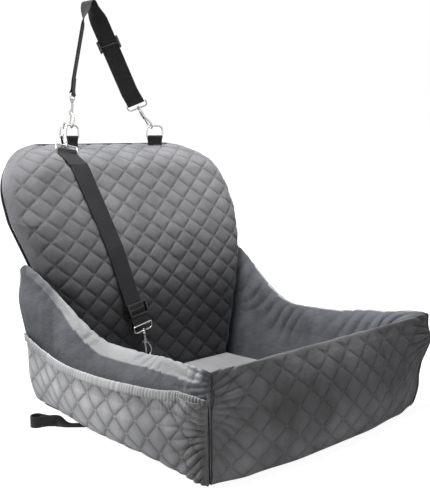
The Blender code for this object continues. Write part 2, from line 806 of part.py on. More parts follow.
def wall_below(station, top):
    """Points of the wall's outer side from a height down to the foot, evenly spaced."""
    points = outer_wall(station)
    first = next(i for i, p in enumerate(points) if p.z <= top)
    share = (points[first - 1].z - top) / (points[first - 1].z - points[first].z)
    start = points[first - 1].lerp(points[first], share)
    return even_points([start] + points[first:], POCKET_ROWS + 1)


def pocket_grid():
    rows = []
    for station in pocket_stations():
        y = station[1] if station[0] == "side" else -FLOOR_FRONT
        rows.append(wall_below(station, hem_height(y)))
    return rows


def pocket_room(i, j, last):
    """Distance from the wall to the inside of the pocket: closed at its foot and at both ends."""
    along = sin(pi * i / last) ** POCKET_END_SHARE if 0 < i < last else 0.0
    down = j / POCKET_ROWS
    swell = sin(pi * min(mix(POCKET_FOOT_SHARE, 1.0, down), 1.0))
    belly = POCKET_ROOM * max(swell, 0.0) ** POCKET_BELLY_SHARE if down < 1 else 0.0
    mouth = POCKET_MOUTH * (1 - down) ** 2
    return SOFT_GAP + along * max(belly, mouth)


def make_pocket(side, mirror):
    rows = pocket_grid()
    normals = outer_normals(rows)
    last = len(rows) - 1
    sign = 1 if normals[last // 2][2].x > 0 else -1
    rings = []
    for i, row in enumerate(rows):
        inner = []
        outer = []
        for j, point in enumerate(row):
            out = normals[i][j] * sign
            room = pocket_room(i, j, last)
            puff = QUILT_RISE if (i + j) % 2 and 0 < i < last and 0 < j < POCKET_ROWS else 0.0
            low = point + out * room
            high = point + out * (room + POCKET_THICKNESS + puff)
            floor = SHEET_THICKNESS + SOFT_GAP
            low.z = max(low.z, floor + POCKET_THICKNESS / 2)
            high.z = max(high.z, floor)
            inner.append(low)
            outer.append(high)
        ring = outer + inner[::-1]
        rings.append(flip_x(ring) if mirror else ring)
    cells = set(range(POCKET_ROWS + 1))
    name = "pocket_" + side
    add_object(name, loft(name, rings, cells), LIGHT_VELVET)


def make_hem(side, mirror):
    """Gathered elastic hem along the pocket's top edge."""
    rows = pocket_grid()
    normals = outer_normals(rows)
    last = len(rows) - 1
    sign = 1 if normals[last // 2][2].x > 0 else -1
    centres = []
    outs = []
    for i, row in enumerate(rows):
        out = normals[i][0] * sign
        rise = (row[0] - row[1]).normalized()
        room = pocket_room(i, 0, last)
        centres.append(row[0] + out * (room + HEM_THICKNESS / 2) + rise * (HEM_WIDTH / 2 + SOFT_GAP))
        outs.append((out, rise))
    rings = []
    ruffles = 3
    for i in range(last * ruffles + 1):
        k = min(i // ruffles, last - 1)
        share = i / ruffles - k
        centre = centres[k].lerp(centres[k + 1], share)
        out = outs[k][0].lerp(outs[k + 1][0], share).normalized()
        rise = outs[k][1].lerp(outs[k + 1][1], share).normalized()
        swell = RUFFLE_RISE if i % 2 else 0.0
        thick = HEM_THICKNESS / 2
        tall = HEM_WIDTH / 2
        upper = rise * tall * HEM_UPPER_SHARE
        lower = rise * tall * HEM_LOWER_SHARE
        face = centre + out * (thick + swell)
        back = centre - out * thick
        foot = centre - rise * tall
        crown = centre + rise * tall
        ring = [face + upper, face - lower, foot, back - lower, back + upper, crown]
        rings.append(flip_x(ring) if mirror else ring)
    name = "pocket_hem_" + side
    add_object(name, loft(name, rings), LIGHT_VELVET)


def ribbon(name, points, width_axes, width, thickness):
    """Flat webbing along a path."""
    rings = []
    for i, point in enumerate(points):
        before = points[max(i - 1, 0)]
        after = points[min(i + 1, len(points) - 1)]
        tangent = (after - before).normalized()
        across = width_axes[i]
        across = (across - tangent * across.dot(tangent)).normalized()
        normal = tangent.cross(across)
        a = across * (width / 2)
        n = normal * (thickness / 2)
        rings.append([point - a - n, point + a - n, point + a + n, point - a + n])
    return loft(name, rings)


def bar_loop(frame, bar_place, bar_radius, tail):
    """Webbing round a bar in a frame's YZ plane: from the tail round the bar to the main run."""
    radius = bar_radius + 2 * GAP + WEBBING_THICKNESS / 2
    flat = [Vector((0, -LAYER_OFFSET, tail)), Vector((0, -LAYER_OFFSET, radius * LOOP_NECK_SHARE))]
    steps = 8
    start = radians(140)
    for k in range(steps + 1):
        turn = start + (radians(400) - start) * k / steps
        flat.append(Vector((0, radius * cos(turn), radius * sin(turn))))
    flat.append(Vector((0, LAYER_OFFSET, radius * LOOP_NECK_SHARE)))
    moved = [frame @ (Vector((0, 0, bar_place)) + p) for p in flat]
    return moved


def make_tabs_and_rings(pivots):
    for side, sign in (("left", -1), ("right", 1)):
        x = sign * TAB_CENTRE_X
        frame = Matrix.Translation((x, TAB_Y, RING_BAR_Z)) @ Matrix.Rotation(pi, 4, "X")
        tail = RING_BAR_Z - TAB_FOOT_Z
        points = bar_loop(frame, 0.0, RING_WIRE_RADIUS, tail)
        points.append(frame @ Vector((0, LAYER_OFFSET, tail)))
        axes = [Vector((1, 0, 0))] * len(points)
        name = "ring_tab_" + side
        add_object(name, ribbon(name, points, axes, WEBBING_WIDTH, WEBBING_THICKNESS), BLACK_WEBBING)
        name = "d_ring_" + side
        ring = tube(name, ring_path(x), RING_WIRE_RADIUS, sides=8, closed=True)
        add_object(name, ring, NICKEL, parent=pivots["ring_" + side])


def ring_path(x):
    half = RING_HALF_WIDTH
    lower = RING_WIRE_RADIUS
    points = []
    for sx, z, start, radius in ((1, 0.0, -90, lower), (1, RING_HEIGHT, 0, RING_CORNER),
                                 (-1, RING_HEIGHT, 90, RING_CORNER), (-1, 0.0, 180, lower)):
        centre = Vector((sx * (half - radius), 0, z + (radius if z == 0 else -radius)))
        for k in range(4):
            turn = radians(start + 90 * k / 3)
            points.append(centre + Vector((radius * cos(turn), 0, radius * sin(turn))))
    return [Vector((x, TAB_Y, RING_BAR_Z)) + p for p in points]


EYE_TOP = EYE_BAR_HEIGHT
HOOK_PATH_SHARES = ((0.25, 0.31), (0.33, 0.41), (0.58, 0.515), (0.94, 0.65), (1.0, 0.79), (0.80, 0.925),
                    (0.41, 1.0), (0.05, 0.955), (-0.07, 0.885))
HOOK_TIP_SHARE = 0.885
GATE_FOOT = -(HOOK_LENGTH * HOOK_TIP_SHARE - HOOK_WIRE_RADIUS / 2 - GAP)


def eye_mesh():
    half = EYE_HALF_WIDTH
    low = BOSS_HEIGHT / 2
    points = []
    for sx, z, start in ((1, low, -90), (1, EYE_TOP, 0), (-1, EYE_TOP, 90), (-1, low, 180)):
        radius = EYE_CORNER if z == low else EYE_WIRE_RADIUS * EYE_BAR_SHARE
        centre = Vector((sx * (half - radius), 0, z + (radius if z == low else -radius)))
        for k in range(4):
            turn = radians(start + 90 * k / 3)
            points.append(centre + Vector((radius * cos(turn), 0, radius * sin(turn))))
    wire = tube("eye_wire", points, EYE_WIRE_RADIUS, sides=8, closed=True)
    boss = revolve("eye_boss", [(0, 0), (BOSS_RADIUS, 0), (BOSS_RADIUS, BOSS_HEIGHT), (0, BOSS_HEIGHT)])
    hole = STEM_RADIUS + GAP
    over = BOSS_HEIGHT + CUTTER_OVERRUN
    profile = [(0, -CUTTER_OVERRUN), (hole, -CUTTER_OVERRUN), (hole, over), (0, over)]
    bore = revolve("eye_bore", profile)
    return combined("snap_eye", wire, [(boss, "UNION"), (bore, "DIFFERENCE")])


def hook_mesh():
    shoulder = BARREL_RADIUS * BARREL_NECK_SHARE
    seat = BOSS_HEIGHT + GAP
    body = revolve("hook_body", [
        (0, seat + HEAD_HEIGHT), (HEAD_RADIUS * HEAD_TOP_SHARE, seat + HEAD_HEIGHT),
        (HEAD_RADIUS, seat + HEAD_HEIGHT / 2), (HEAD_RADIUS, seat),
        (STEM_RADIUS, seat), (STEM_RADIUS, -GAP), (shoulder, -GAP),
        (BARREL_RADIUS, -BARREL_SHOULDER), (BARREL_RADIUS, -BARREL_LENGTH), (0, -BARREL_LENGTH)])
    route = [Vector((x * HOOK_REACH, 0, -z * HOOK_LENGTH)) for x, z in HOOK_PATH_SHARES]
    claw = tube("hook_claw", curve_through(route, 15), HOOK_WIRE_RADIUS, sides=8)
    mouth = -BARREL_LENGTH - CUTTER_OVERRUN
    profile = [(0, -BORE_START), (BORE_RADIUS, -BORE_START), (BORE_RADIUS, mouth), (0, mouth)]
    bore = revolve("hook_bore", profile)
    half = KNOB_RADIUS + GAP
    slot = block("hook_slot", (-BARREL_RADIUS - CUTTER_OVERRUN, -half, KNOB_Z - half),
                 (0, half, KNOB_Z + GATE_TRAVEL + half))
    return combined("snap_hook", body, [(claw, "UNION"), (bore, "DIFFERENCE"), (slot, "DIFFERENCE")])


def gate_mesh():
    tip = GATE_RADIUS * GATE_TIP_SHARE
    shoulder = GATE_FOOT + GATE_RADIUS / 2
    rod = revolve("gate_rod", [(0, -GATE_TOP), (GATE_RADIUS, -GATE_TOP), (GATE_RADIUS, shoulder),
                               (tip, GATE_FOOT), (0, GATE_FOOT)])
    head = KNOB_HEAD_RADIUS
    start = GATE_RADIUS / 2
    neck = KNOB_REACH - head
    profile = [(0, start), (KNOB_RADIUS, start), (KNOB_RADIUS, neck), (head, neck + head / 3)]
    profile += [(head, neck + head * 2 / 3), (head / 2, neck + head), (0, neck + head)]
    knob = revolve("gate_knob", profile, sides=8)
    knob.transform(Matrix.Translation((0, 0, KNOB_Z)) @ Matrix.Rotation(-pi / 2, 4, "Y"))
    return combined("snap_gate", rod, [(knob, "UNION")])


def spring_mesh():
    """Coil between the bore's end and the gate, its least gap between turns printed."""
    sides = 9
    foot = SPRING_FOOT + SPRING_WIRE_RADIUS
    top = SPRING_TOP - SPRING_WIRE_RADIUS
    count = SPRING_TURNS * sides + 1
    points = []
    for i in range(count):
        turn = 2 * pi * i / sides
        height = mix(foot, top, i / (count - 1))
        points.append(Vector((SPRING_RADIUS * cos(turn), SPRING_RADIUS * sin(turn), height)))
    least = min((points[i] - points[j]).length for i in range(count) for j in range(i + sides // 2, count))
    print("spring least gap", least - 2 * SPRING_WIRE_RADIUS)
    return tube("snap_spring", points, SPRING_WIRE_RADIUS, sides=6)


def clipped_frame(x, z_axis, front):
    """Frame of a bolt snap whose claw holds the top wire of a D-ring; its bow is in front or behind."""
    z = Vector(z_axis).normalized()
    hint = Vector((1, 0, 0)).cross(z)
    frame = frame_at((0, 0, 0), z, hint if front else -hint)
    wire = Vector((x, TAB_Y, RING_TOP_Z))
    lean = Vector((z.y, z.z)).length
    oblique = RING_WIRE_RADIUS / lean + HOOK_WIRE_RADIUS * abs(z.x) / lean
    drop = HOOK_LENGTH - HOOK_WIRE_RADIUS - GAP - oblique
    frame.translation = wire - frame.to_3x3() @ Vector((HOOK_WIRE_X, 0, -drop))
    return frame


def eye_frame(hook_frame, width_direction):
    return frame_at(hook_frame.translation, hook_frame.col[2].xyz, width_direction)


def add_snap(group, place, hook_frame, width_direction, meshes, body_pivot):
    """Bolt snap: swivel eye on the webbing, hook with its barrel, sliding gate and spring."""
    frame = eye_frame(hook_frame, width_direction)
    swivel = add_pivot(group + "_swivel_" + place, hook_frame.translation, body_pivot)
    add_object(group + "_eye_" + place, meshes["eye"], NICKEL, frame, body_pivot)
    add_object(group + "_hook_" + place, meshes["hook"], NICKEL, hook_frame, swivel)
    add_object(group + "_gate_" + place, meshes["gate"], NICKEL, hook_frame, swivel)
    add_object(group + "_spring_" + place, meshes["spring"], SPRING_STEEL, hook_frame, swivel)
    return frame


def strap_arc(centre, left, right):
    steps = 7
    points = []
    for k in range(steps + 1):
        turn = mix(left, right, k / steps)
        points.append(centre + Vector((cos(turn), 0, sin(turn))) * STRAP_APEX_HALF_SPREAD)
    return points


def leg_turn(foot, centre, sign):
    """Angle at which a straight leg from its foot meets the apex bend square to its radius."""
    flat = Vector((centre.x - foot.x, centre.z - foot.z))
    return atan2(flat.y, flat.x) + sign * pi / 2


def strap_axis(point, centre, frame):
    """Width direction of the headrest strap: across the seat's depth at the apex, turned on each leg."""
    length = (point - centre).length - STRAP_APEX_HALF_SPREAD
    return Vector((0, 1, 0)).lerp(frame.col[0].xyz, smooth(length / STRAP_TWIST_LENGTH)).normalized()


def make_headrest_strap(meshes, pivot):
    left_frame = add_snap("strap", "left", clipped_frame(STRAP_HOOK_X_LEFT, STRAP_LEFT_LEAN, True),
                          LEFT_WIDTH_DIRECTION, meshes, pivot)
    right_frame = add_snap("strap", "right", clipped_frame(STRAP_HOOK_X_RIGHT, STRAP_RIGHT_LEAN, True),
                           RIGHT_WIDTH_DIRECTION, meshes, pivot)
    apex = RING_TOP_Z + STRAP_RISE - STRAP_APEX_HALF_SPREAD
    centre = Vector((STRAP_APEX_X, TAB_Y - STRAP_APEX_SETBACK, apex))
    left = bar_loop(left_frame, EYE_BAR_HEIGHT, EYE_WIRE_RADIUS, WEBBING_TAIL)
    right = bar_loop(right_frame, EYE_BAR_HEIGHT, EYE_WIRE_RADIUS, WEBBING_TAIL)[::-1]
    left_bend = left_frame @ Vector((0, LAYER_OFFSET, EYE_BAR_HEIGHT + STRAP_BEND_LENGTH))
    right_bend = right_frame @ Vector((0, LAYER_OFFSET, EYE_BAR_HEIGHT + STRAP_BEND_LENGTH))
    arc = strap_arc(centre, leg_turn(left_bend, centre, 1), leg_turn(right_bend, centre, -1))
    left_leg = [left_bend.lerp(arc[0], k / 6) for k in range(7)]
    right_leg = [arc[-1].lerp(right_bend, k / 7) for k in range(8)]
    points = left + left_leg[:-1] + arc + right_leg[1:] + right
    middle = len(left) + len(left_leg) - 1 + len(arc) // 2
    axes = [strap_axis(p, centre, left_frame if i < middle else right_frame) for i, p in enumerate(points)]
    mesh = ribbon("headrest_strap", points, axes, WEBBING_WIDTH, WEBBING_THICKNESS)
    add_object("headrest_strap", mesh, BLACK_WEBBING, parent=pivot)
    place = arc[-1].lerp(right_bend, STRAP_SLIDER_SHARE)
    frame = frame_at(place, arc[-1] - right_bend, right_frame.col[0].xyz)
    add_object("strap_slider", slider_mesh("strap_slider"), BLACK_PLASTIC, frame, pivot)


def tether_point(z):
    """Centre of the tether's webbing: on the backrest above the bend, standing off it below."""
    x = mix(TETHER_FOOT_X, TETHER_TOP_X, (z - TETHER_EYE_Z) / (TETHER_TOP_Z - TETHER_EYE_Z))
    forward = max(TETHER_BEND_Z - z, 0) * TETHER_SLOPE_SHARE
    return Vector((x, back_front_y(max(z, TETHER_BEND_Z), 1.0) - TETHER_CLEARANCE - forward, z))


def make_tether(meshes, pivot):
    lean = -Vector(TETHER_UPPER_LEAN)
    clipped = clipped_frame(TETHER_HOOK_X, lean, False)
    upper = add_snap("tether", "upper", clipped, TETHER_TOP_WIDTH, meshes, pivot)
    foot = tether_point(TETHER_EYE_Z)
    rise = tether_point(TETHER_BEND_Z) - foot
    bar_frame = frame_at(foot, rise, (1, 0, 0))
    bar_frame.translation = foot - bar_frame.to_3x3() @ Vector((0, LAYER_OFFSET, EYE_BAR_HEIGHT))
    to_bar = Matrix.Translation((0, 0, EYE_BAR_HEIGHT))
    hanging = bar_frame @ to_bar @ Matrix.Rotation(TETHER_HANG, 4, "X") @ to_bar.inverted()
    add_snap("tether", "lower", hanging, hanging.col[0].xyz, meshes, pivot)
    top_loop = bar_loop(upper, EYE_BAR_HEIGHT, EYE_WIRE_RADIUS, TETHER_TAIL)
    low_loop = bar_loop(bar_frame, EYE_BAR_HEIGHT, EYE_WIRE_RADIUS, TETHER_TAIL)[::-1]
    brow = mix(top_loop[-1].z, TETHER_TOP_Z, TETHER_BROW_SHARE)
    upper_run = [top_loop[-1], tether_point(brow), tether_point(TETHER_TOP_Z)]
    upper_run += [tether_point(mix(TETHER_TOP_Z, TETHER_BEND_Z, share)) for share in TETHER_RUN_SHARES]
    upper_run = curve_through(upper_run, 11)
    low_start = low_loop[0].z + EYE_BAR_HEIGHT
    lower_run = [tether_point(mix(TETHER_BEND_Z - TETHER_BEND_RISE, low_start, k / 4)) for k in range(5)]
    points = top_loop + upper_run[1:] + [tether_point(TETHER_BEND_Z)] + lower_run + low_loop
    run = len(points) - len(top_loop) - len(low_loop)
    start, end = upper.col[0].xyz, bar_frame.col[0].xyz
    turned = [start.lerp(end, smooth((k - 1) / (run / 3))) for k in range(run)]
    axes = [start] * len(top_loop) + turned + [end] * len(low_loop)
    mesh = ribbon("tether_webbing", points, axes, WEBBING_WIDTH, WEBBING_THICKNESS)
    add_object("tether_webbing", mesh, BLACK_WEBBING, parent=pivot)
    place = tether_point(TETHER_EYE_Z + TETHER_TAIL + TETHER_SLIDER_RISE)
    frame = frame_at(place, rise, (1, 0, 0))
    add_object("tether_slider", slider_mesh("tether_slider"), BLACK_PLASTIC, frame, pivot)


def slider_mesh(name):
    """Three-bar slider round flat webbing: end bars in front of it, middle bar behind."""
    r = SLIDER_BAR_RADIUS
    half = WEBBING_WIDTH / 2 + SLIDER_SIDE_GAP + r
    off = WEBBING_THICKNESS / 2 + GAP * 2 + r
    depth = off + r
    high = SLIDER_HALF_HEIGHT
    frame = block(name, (-half - r, -depth, -high - r), (half + r, depth, high + r))
    over = CUTTER_OVERRUN
    inner = half - r
    back = depth + over
    end = high + r + over
    slot = block(name + "_slot", (-inner, -off + r, -end), (inner, off - r, end))
    lower_window = block(name + "_low", (-inner, -off + r - over, -high + r), (inner, back, -r))
    upper_window = block(name + "_high", (-inner, -off + r - over, r), (inner, back, high - r))
    end_low = block(name + "_end_low", (-inner, 0, -end), (inner, back, -high + r + over))
    end_high = block(name + "_end_high", (-inner, 0, high - r - over), (inner, back, end))
    front = block(name + "_front", (-inner, -back, -high + r), (inner, 0, high - r))
    cuts = [slot, lower_window, upper_window, end_low, end_high, front]
    return combined(name, frame, [(cut, "DIFFERENCE") for cut in cuts])


def make_anchor():
    """Webbing from the left seam of the base: flat, then turned on its edge, with an end loop."""
    seam = Vector((-BASE_HALF_WIDTH - GAP, ANCHOR_START_Y, 0))
    along = Vector((-cos(ANCHOR_HEADING), sin(ANCHOR_HEADING), 0))
    across = Vector((along.y, -along.x, 0))
    seam = seam + along * (ANCHOR_WIDTH / 2 * abs(along.y / along.x))
    low = ANCHOR_FLOOR_GAP + ANCHOR_THICKNESS / 2
    points = []
    axes = []
    steps = 7
    for k in range(steps + 1):
        share = smooth((k / steps - ANCHOR_FLAT_SHARE) / (1 - ANCHOR_FLAT_SHARE))
        axis = across.lerp(Vector((0, 0, 1)), share).normalized()
        height = low * (1 - axis.z) + ANCHOR_FLOOR_GAP * axis.z + axis.z * ANCHOR_WIDTH / 2
        points.append(seam + along * (ANCHOR_RUN * k / steps) + Vector((0, 0, height)))
        axes.append(axis)
    centre = points[-1] + along * ANCHOR_LOOP_RADIUS * 2
    turns = [radians(mix(140, -140, k / 10)) for k in range(11)]
    points += [centre + (along * cos(a) + across * sin(a)) * ANCHOR_LOOP_RADIUS for a in turns]
    points.append(points[steps] - across * ANCHOR_TAIL_GAP + along * ANCHOR_TAIL_GAP)
    points.append(points[-1] - along * ANCHOR_LOOP_RADIUS)
    axes += [Vector((0, 0, 1))] * (len(points) - len(axes))
    mesh = ribbon("anchor_strap", points, axes, ANCHOR_WIDTH, ANCHOR_THICKNESS)
    add_object("anchor_strap", mesh, BLACK_WEBBING)


def main():
    clear_scene()
    make_base()
    make_floor()
    make_back()
    make_front_bolster()
    for side, mirror in (("right", False), ("left", True)):
        make_side_bolster(side, mirror)
        make_pocket(side, mirror)
        make_hem(side, mirror)
    bar = Vector((0, TAB_Y, RING_BAR_Z))
    wire = Vector((0, TAB_Y, RING_TOP_Z))
    left = add_pivot("ring_left_pivot", bar)
    right = add_pivot("ring_right_pivot", bar)
    make_tabs_and_rings({"ring_left": left, "ring_right": right})
    meshes = {"eye": eye_mesh(), "hook": hook_mesh(), "gate": gate_mesh(), "spring": spring_mesh()}
    make_headrest_strap(meshes, add_pivot("headrest_strap_pivot", wire, left))
    make_tether(meshes, add_pivot("tether_pivot", wire, left))
    make_anchor()


main()
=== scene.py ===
import json
from math import atan2, cos, pi, radians, sin, tan

import bmesh
import bpy
import numpy as np
from bpy.props import FloatProperty, FloatVectorProperty, PointerProperty
from bpy.types import Operator, Panel, PropertyGroup
from mathutils import Matrix, Vector, noise


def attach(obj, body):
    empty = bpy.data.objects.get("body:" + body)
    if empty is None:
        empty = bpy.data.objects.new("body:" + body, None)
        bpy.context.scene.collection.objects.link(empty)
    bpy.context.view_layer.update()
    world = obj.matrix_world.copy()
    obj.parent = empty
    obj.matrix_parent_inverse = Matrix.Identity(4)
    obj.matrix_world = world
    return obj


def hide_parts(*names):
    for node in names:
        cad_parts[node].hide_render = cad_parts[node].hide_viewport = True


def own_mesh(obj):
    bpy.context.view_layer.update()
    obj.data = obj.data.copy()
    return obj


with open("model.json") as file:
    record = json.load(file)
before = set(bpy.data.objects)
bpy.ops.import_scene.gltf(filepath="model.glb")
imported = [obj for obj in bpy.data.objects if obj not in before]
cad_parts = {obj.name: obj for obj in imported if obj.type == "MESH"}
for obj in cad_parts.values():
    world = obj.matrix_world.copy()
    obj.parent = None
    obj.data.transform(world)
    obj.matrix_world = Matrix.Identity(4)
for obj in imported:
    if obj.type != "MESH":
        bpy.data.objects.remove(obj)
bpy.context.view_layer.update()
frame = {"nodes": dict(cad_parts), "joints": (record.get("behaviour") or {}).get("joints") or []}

bl_info = {
    "name": "Dog Car Seat",
    "version": (1, 0, 0),
    "blender": (4, 5, 0),
    "location": "View3D > Sidebar > Dog Seat",
    "description": "Dresses the packed dog car seat with quilted velvet, webbing and snap hooks",
    "category": "Object",
}

# Sizes of the sewn body, as in the solids
SOFT_GAP = 0.0006
BASE_TOP = 0.0052
SHEET_TOP = 0.0016
FLOOR_HALF_WIDTH = 0.189
FLOOR_FRONT = 0.200
FLOOR_TOP = 0.046
FLOOR_CROWN = 0.006
FLOOR_EDGE_ROUND = 0.012
LEAN = {"side": 0.235, "front": 0.40, "corner": 0.46}
BULGE = {"side": 0.086, "rear": 0.066, "front": 0.110, "corner": 0.086}
FOOT = {"side": 0.050, "rear": 0.042, "front": 0.094, "corner": 0.074}
SIDE_HEIGHT = 0.162
FRONT_HEIGHT = 0.181
CORNER_HEIGHT = 0.186
ARM_HEIGHT = 0.276
RIDGE_ROUND = 0.010
CORNER_BLEND = 0.110
CORNER_SHARP_SHARE = 0.75
BACK_FOOT_Y = 0.252
BACK_BEND_Z = 0.262
BACK_BEND_ROUND = 0.075
LOWER_LEAN = radians(-1.0)
UPPER_LEAN = radians(25.5)
BACK_LOW_THICKNESS = 0.107
BACK_TOP_THICKNESS = 0.089
BACK_CROWN = 0.008
BACK_TOP = 0.492
BACK_MAX_HALF_WIDTH = 0.268
BACK_WIDEST_Z = 0.345
BACK_CORNER_RADIUS = 0.105
BACK_TOP_ROUND = 0.052
BACK_SIDE_ROUND = 0.045
BACK_REAR_INSET = 0.010
BACK_EDGE_SHARE = 0.45
PIPING_RADIUS = 0.0024
POCKET_THICKNESS = 0.0035
POCKET_ROOM = 0.0100
POCKET_MOUTH = 0.0120
POCKET_REAR_Y = 0.2420
POCKET_FAN = pi / 4 * 0.965
HEM_REAR_HEIGHT = 0.134
HEM_LOW_HEIGHT = 0.107
HEM_FRONT_HEIGHT = 0.128
HEM_CORNER_RISE = 0.014
HEM_WIDTH = 0.011
HEM_THICKNESS = 0.0042

# Places along the walls, and welding distances
FAN_STATIONS = 42
RUN_STATIONS = 150
FRONT_STATIONS = 181
GRID_WELD = 1e-6
COPY_WELD = 2e-6

# Quilting, folds and gathers, in the picture only
CHANNEL_HALF = 0.06
STITCH_KNOT_REACH = 0.30
STITCH_KNOT_HEIGHT = 0.30
WALL_SEED = {"left": 5.0, "right": 17.0}
FOLD_PITCH, FOLD_LEVEL, FOLD_REACH = 0.026, -0.045, 0.040
PINCH_PITCH, PINCH_LEVEL, PINCH_REACH = 0.027, 0.010, 0.020
SIDE_CORNER_FOLDS = {"level": 0.02, "pitch": 0.13, "reach": 0.060, "start": -0.03}
FRONT_CORNER_FOLDS = {"level": 0.05, "pitch": 0.15, "reach": 0.070, "start": -0.02}
CREST_INNER, CREST_OUTER = -0.007, 0.031
MITRE_SHIFT = 0.00015 / 2 ** 0.5
SEAM_PULL = 0.0032
KNOT_DEPTH = 0.006
KNOT_LEVEL = 0.034
KNOT_WIDTH, KNOT_HEIGHT = 0.011, 0.017
TIP_DROP = 0.012
TIP_LENGTH = 0.030
FLOOR_REAR_GAP = 0.0018
FLOOR_SAG = 0.003
GATHER_DEPTH = 0.0034
GATHER_REACH = 0.016
PLEAT_DEPTH = 0.0070
POCKET_QUILT_DEPTH = 0.0022
HEM_STANDOFF = 0.0014
HEM_LAP = 0.0045
HEM_FACETS = 18
HEM_KNOT_LENGTH = 0.022


class SeatSizes(PropertyGroup):
    """Sizes of the sewing that a user would change."""

    quilt_width: FloatProperty(name="Diamond width", description="Quilting diamond, corner to corner across",
                               default=0.053, min=0.02, max=0.12, unit="LENGTH")
    quilt_height: FloatProperty(name="Diamond height", description="Quilting diamond, corner to corner upwards",
                                default=0.045, min=0.02, max=0.12, unit="LENGTH")
    quilt_depth: FloatProperty(name="Quilting depth", description="Depth of the sewn channels in the backrest",
                               default=0.0032, min=0.0, max=0.01, unit="LENGTH")
    wall_quilt_depth: FloatProperty(name="Wall quilting depth", description="Depth of the channels in the front wall",
                                    default=0.0016, min=0.0, max=0.01, unit="LENGTH")
    crease_depth: FloatProperty(name="Crease depth", description="Depth of the loose folds in the plain velvet",
                                default=0.0018, min=0.0, max=0.01, unit="LENGTH")
    gather_pitch: FloatProperty(name="Gather pitch", description="Distance between gathers of the elastic hem",
                                default=0.0072, min=0.003, max=0.02, unit="LENGTH")


class SeatColours(PropertyGroup):
    """Colours of the fabrics and metal."""

    back_velvet: FloatVectorProperty(name="Backrest velvet", description="Quilted velvet of the backrest",
                                     subtype="COLOR", size=3, default=(0.27, 0.27, 0.28), min=0, max=1)
    pocket_velvet: FloatVectorProperty(name="Pocket velvet", description="Quilted velvet of the side pockets",
                                       subtype="COLOR", size=3, default=(0.58, 0.58, 0.59), min=0, max=1)
    wall_velvet: FloatVectorProperty(name="Wall velvet", description="Plain velvet of the side walls",
                                     subtype="COLOR", size=3, default=(0.150, 0.156, 0.174), min=0, max=1)
    front_velvet: FloatVectorProperty(name="Front velvet", description="Quilted velvet of the front wall",
                                      subtype="COLOR", size=3, default=(0.39, 0.387, 0.40), min=0, max=1)
    # Colour of the painted highlight where light falls on the top of the side walls.
    crest_highlight_colour: FloatVectorProperty(name="Crest velvet", description="Brushed-up velvet on top of the side walls",
                                      subtype="COLOR", size=3, default=(0.57, 0.577, 0.59), min=0, max=1)
    floor_velvet: FloatVectorProperty(name="Floor velvet", description="Velvet of the floor cushion",
                                      subtype="COLOR", size=3, default=(0.31, 0.31, 0.318), min=0, max=1)
    webbing: FloatVectorProperty(name="Webbing", description="Woven straps",
                                 subtype="COLOR", size=3, default=(0.025, 0.025, 0.027), min=0, max=1)
    metal: FloatVectorProperty(name="Plated metal", description="Hooks and rings",
                               subtype="COLOR", size=3, default=(0.56, 0.555, 0.54), min=0, max=1)


def sizes():
    return bpy.context.scene.dog_seat_sizes


def colours():
    return bpy.context.scene.dog_seat_colours


def fineness(full):
    return full


def mix(a, b, share):
    return a + (b - a) * share


def smooth(share):
    share = min(max(share, 0.0), 1.0)
    return share * share * (3.0 - 2.0 * share)


def even_points(path, count):
    """Points at even distances along a path, as an array."""
    path = np.asarray(path, float)
    steps = np.linalg.norm(np.diff(path, axis=0), axis=1)
    along = np.concatenate([[0.0], np.cumsum(steps)])
    targets = np.linspace(0, along[-1], count)
    return np.stack([np.interp(targets, along, path[:, k]) for k in range(path.shape[1])], axis=1)


def unit(vectors):
    """The same directions at length 1."""
    return vectors / np.linalg.norm(vectors, axis=-1, keepdims=True)


def tangents(path):
    return unit(np.gradient(path, axis=0))


def hump(value, centre, reach):
    """1 at the centre, falling off smoothly over the reach."""
    return np.exp(-((value - centre) / reach) ** 2)


def rising(value, start, length):
    """0 up to the start, 1 from one length on."""
    return np.clip((value - start) / length, 0, 1)


def falling(value, end, length):
    """1 up to one length before the end, 0 from the end on."""
    return np.clip((end - value) / length, 0, 1)


def edge_weight(count, reach):
    """0 at both ends of a row and 1 from the reach inwards."""
    place = np.arange(count)
    return np.clip(np.minimum(place, place[::-1]) / reach, 0, 1)


def curve_through(points, count):
    """Even points on a smooth curve through the given points."""
    points = np.asarray(points, float)
    ends = np.vstack([points[0] * 2 - points[1], points, points[-1] * 2 - points[-2]])
    t = (np.arange(12) / 12)[:, None]
    dense = []
    for a, b, c, d in zip(ends, ends[1:], ends[2:], ends[3:]):
        dense.append(0.5 * (b * 2 + (c - a) * t + (a * 2 - b * 5 + c * 4 - d) * t ** 2
                            + (b * 3 - a - c * 3 + d) * t ** 3))
    return even_points(np.vstack(dense + [points[-1:]]), count)


# Surfaces of the sewn body

def arm_height(y):
    rear = smooth(y / BACK_FOOT_Y) if y > 0 else 0.0
    front = smooth(-y / FLOOR_FRONT) if y < 0 else 0.0
    return SIDE_HEIGHT + (ARM_HEIGHT - SIDE_HEIGHT) * rear + (FRONT_HEIGHT - SIDE_HEIGHT) * front * 0.4


def stations(kind, start, end, count):
    """Places along the wall: on a straight run of the kind, or turning the corner as a fan."""
    return [(kind, value) for value in np.linspace(start, end, count)]


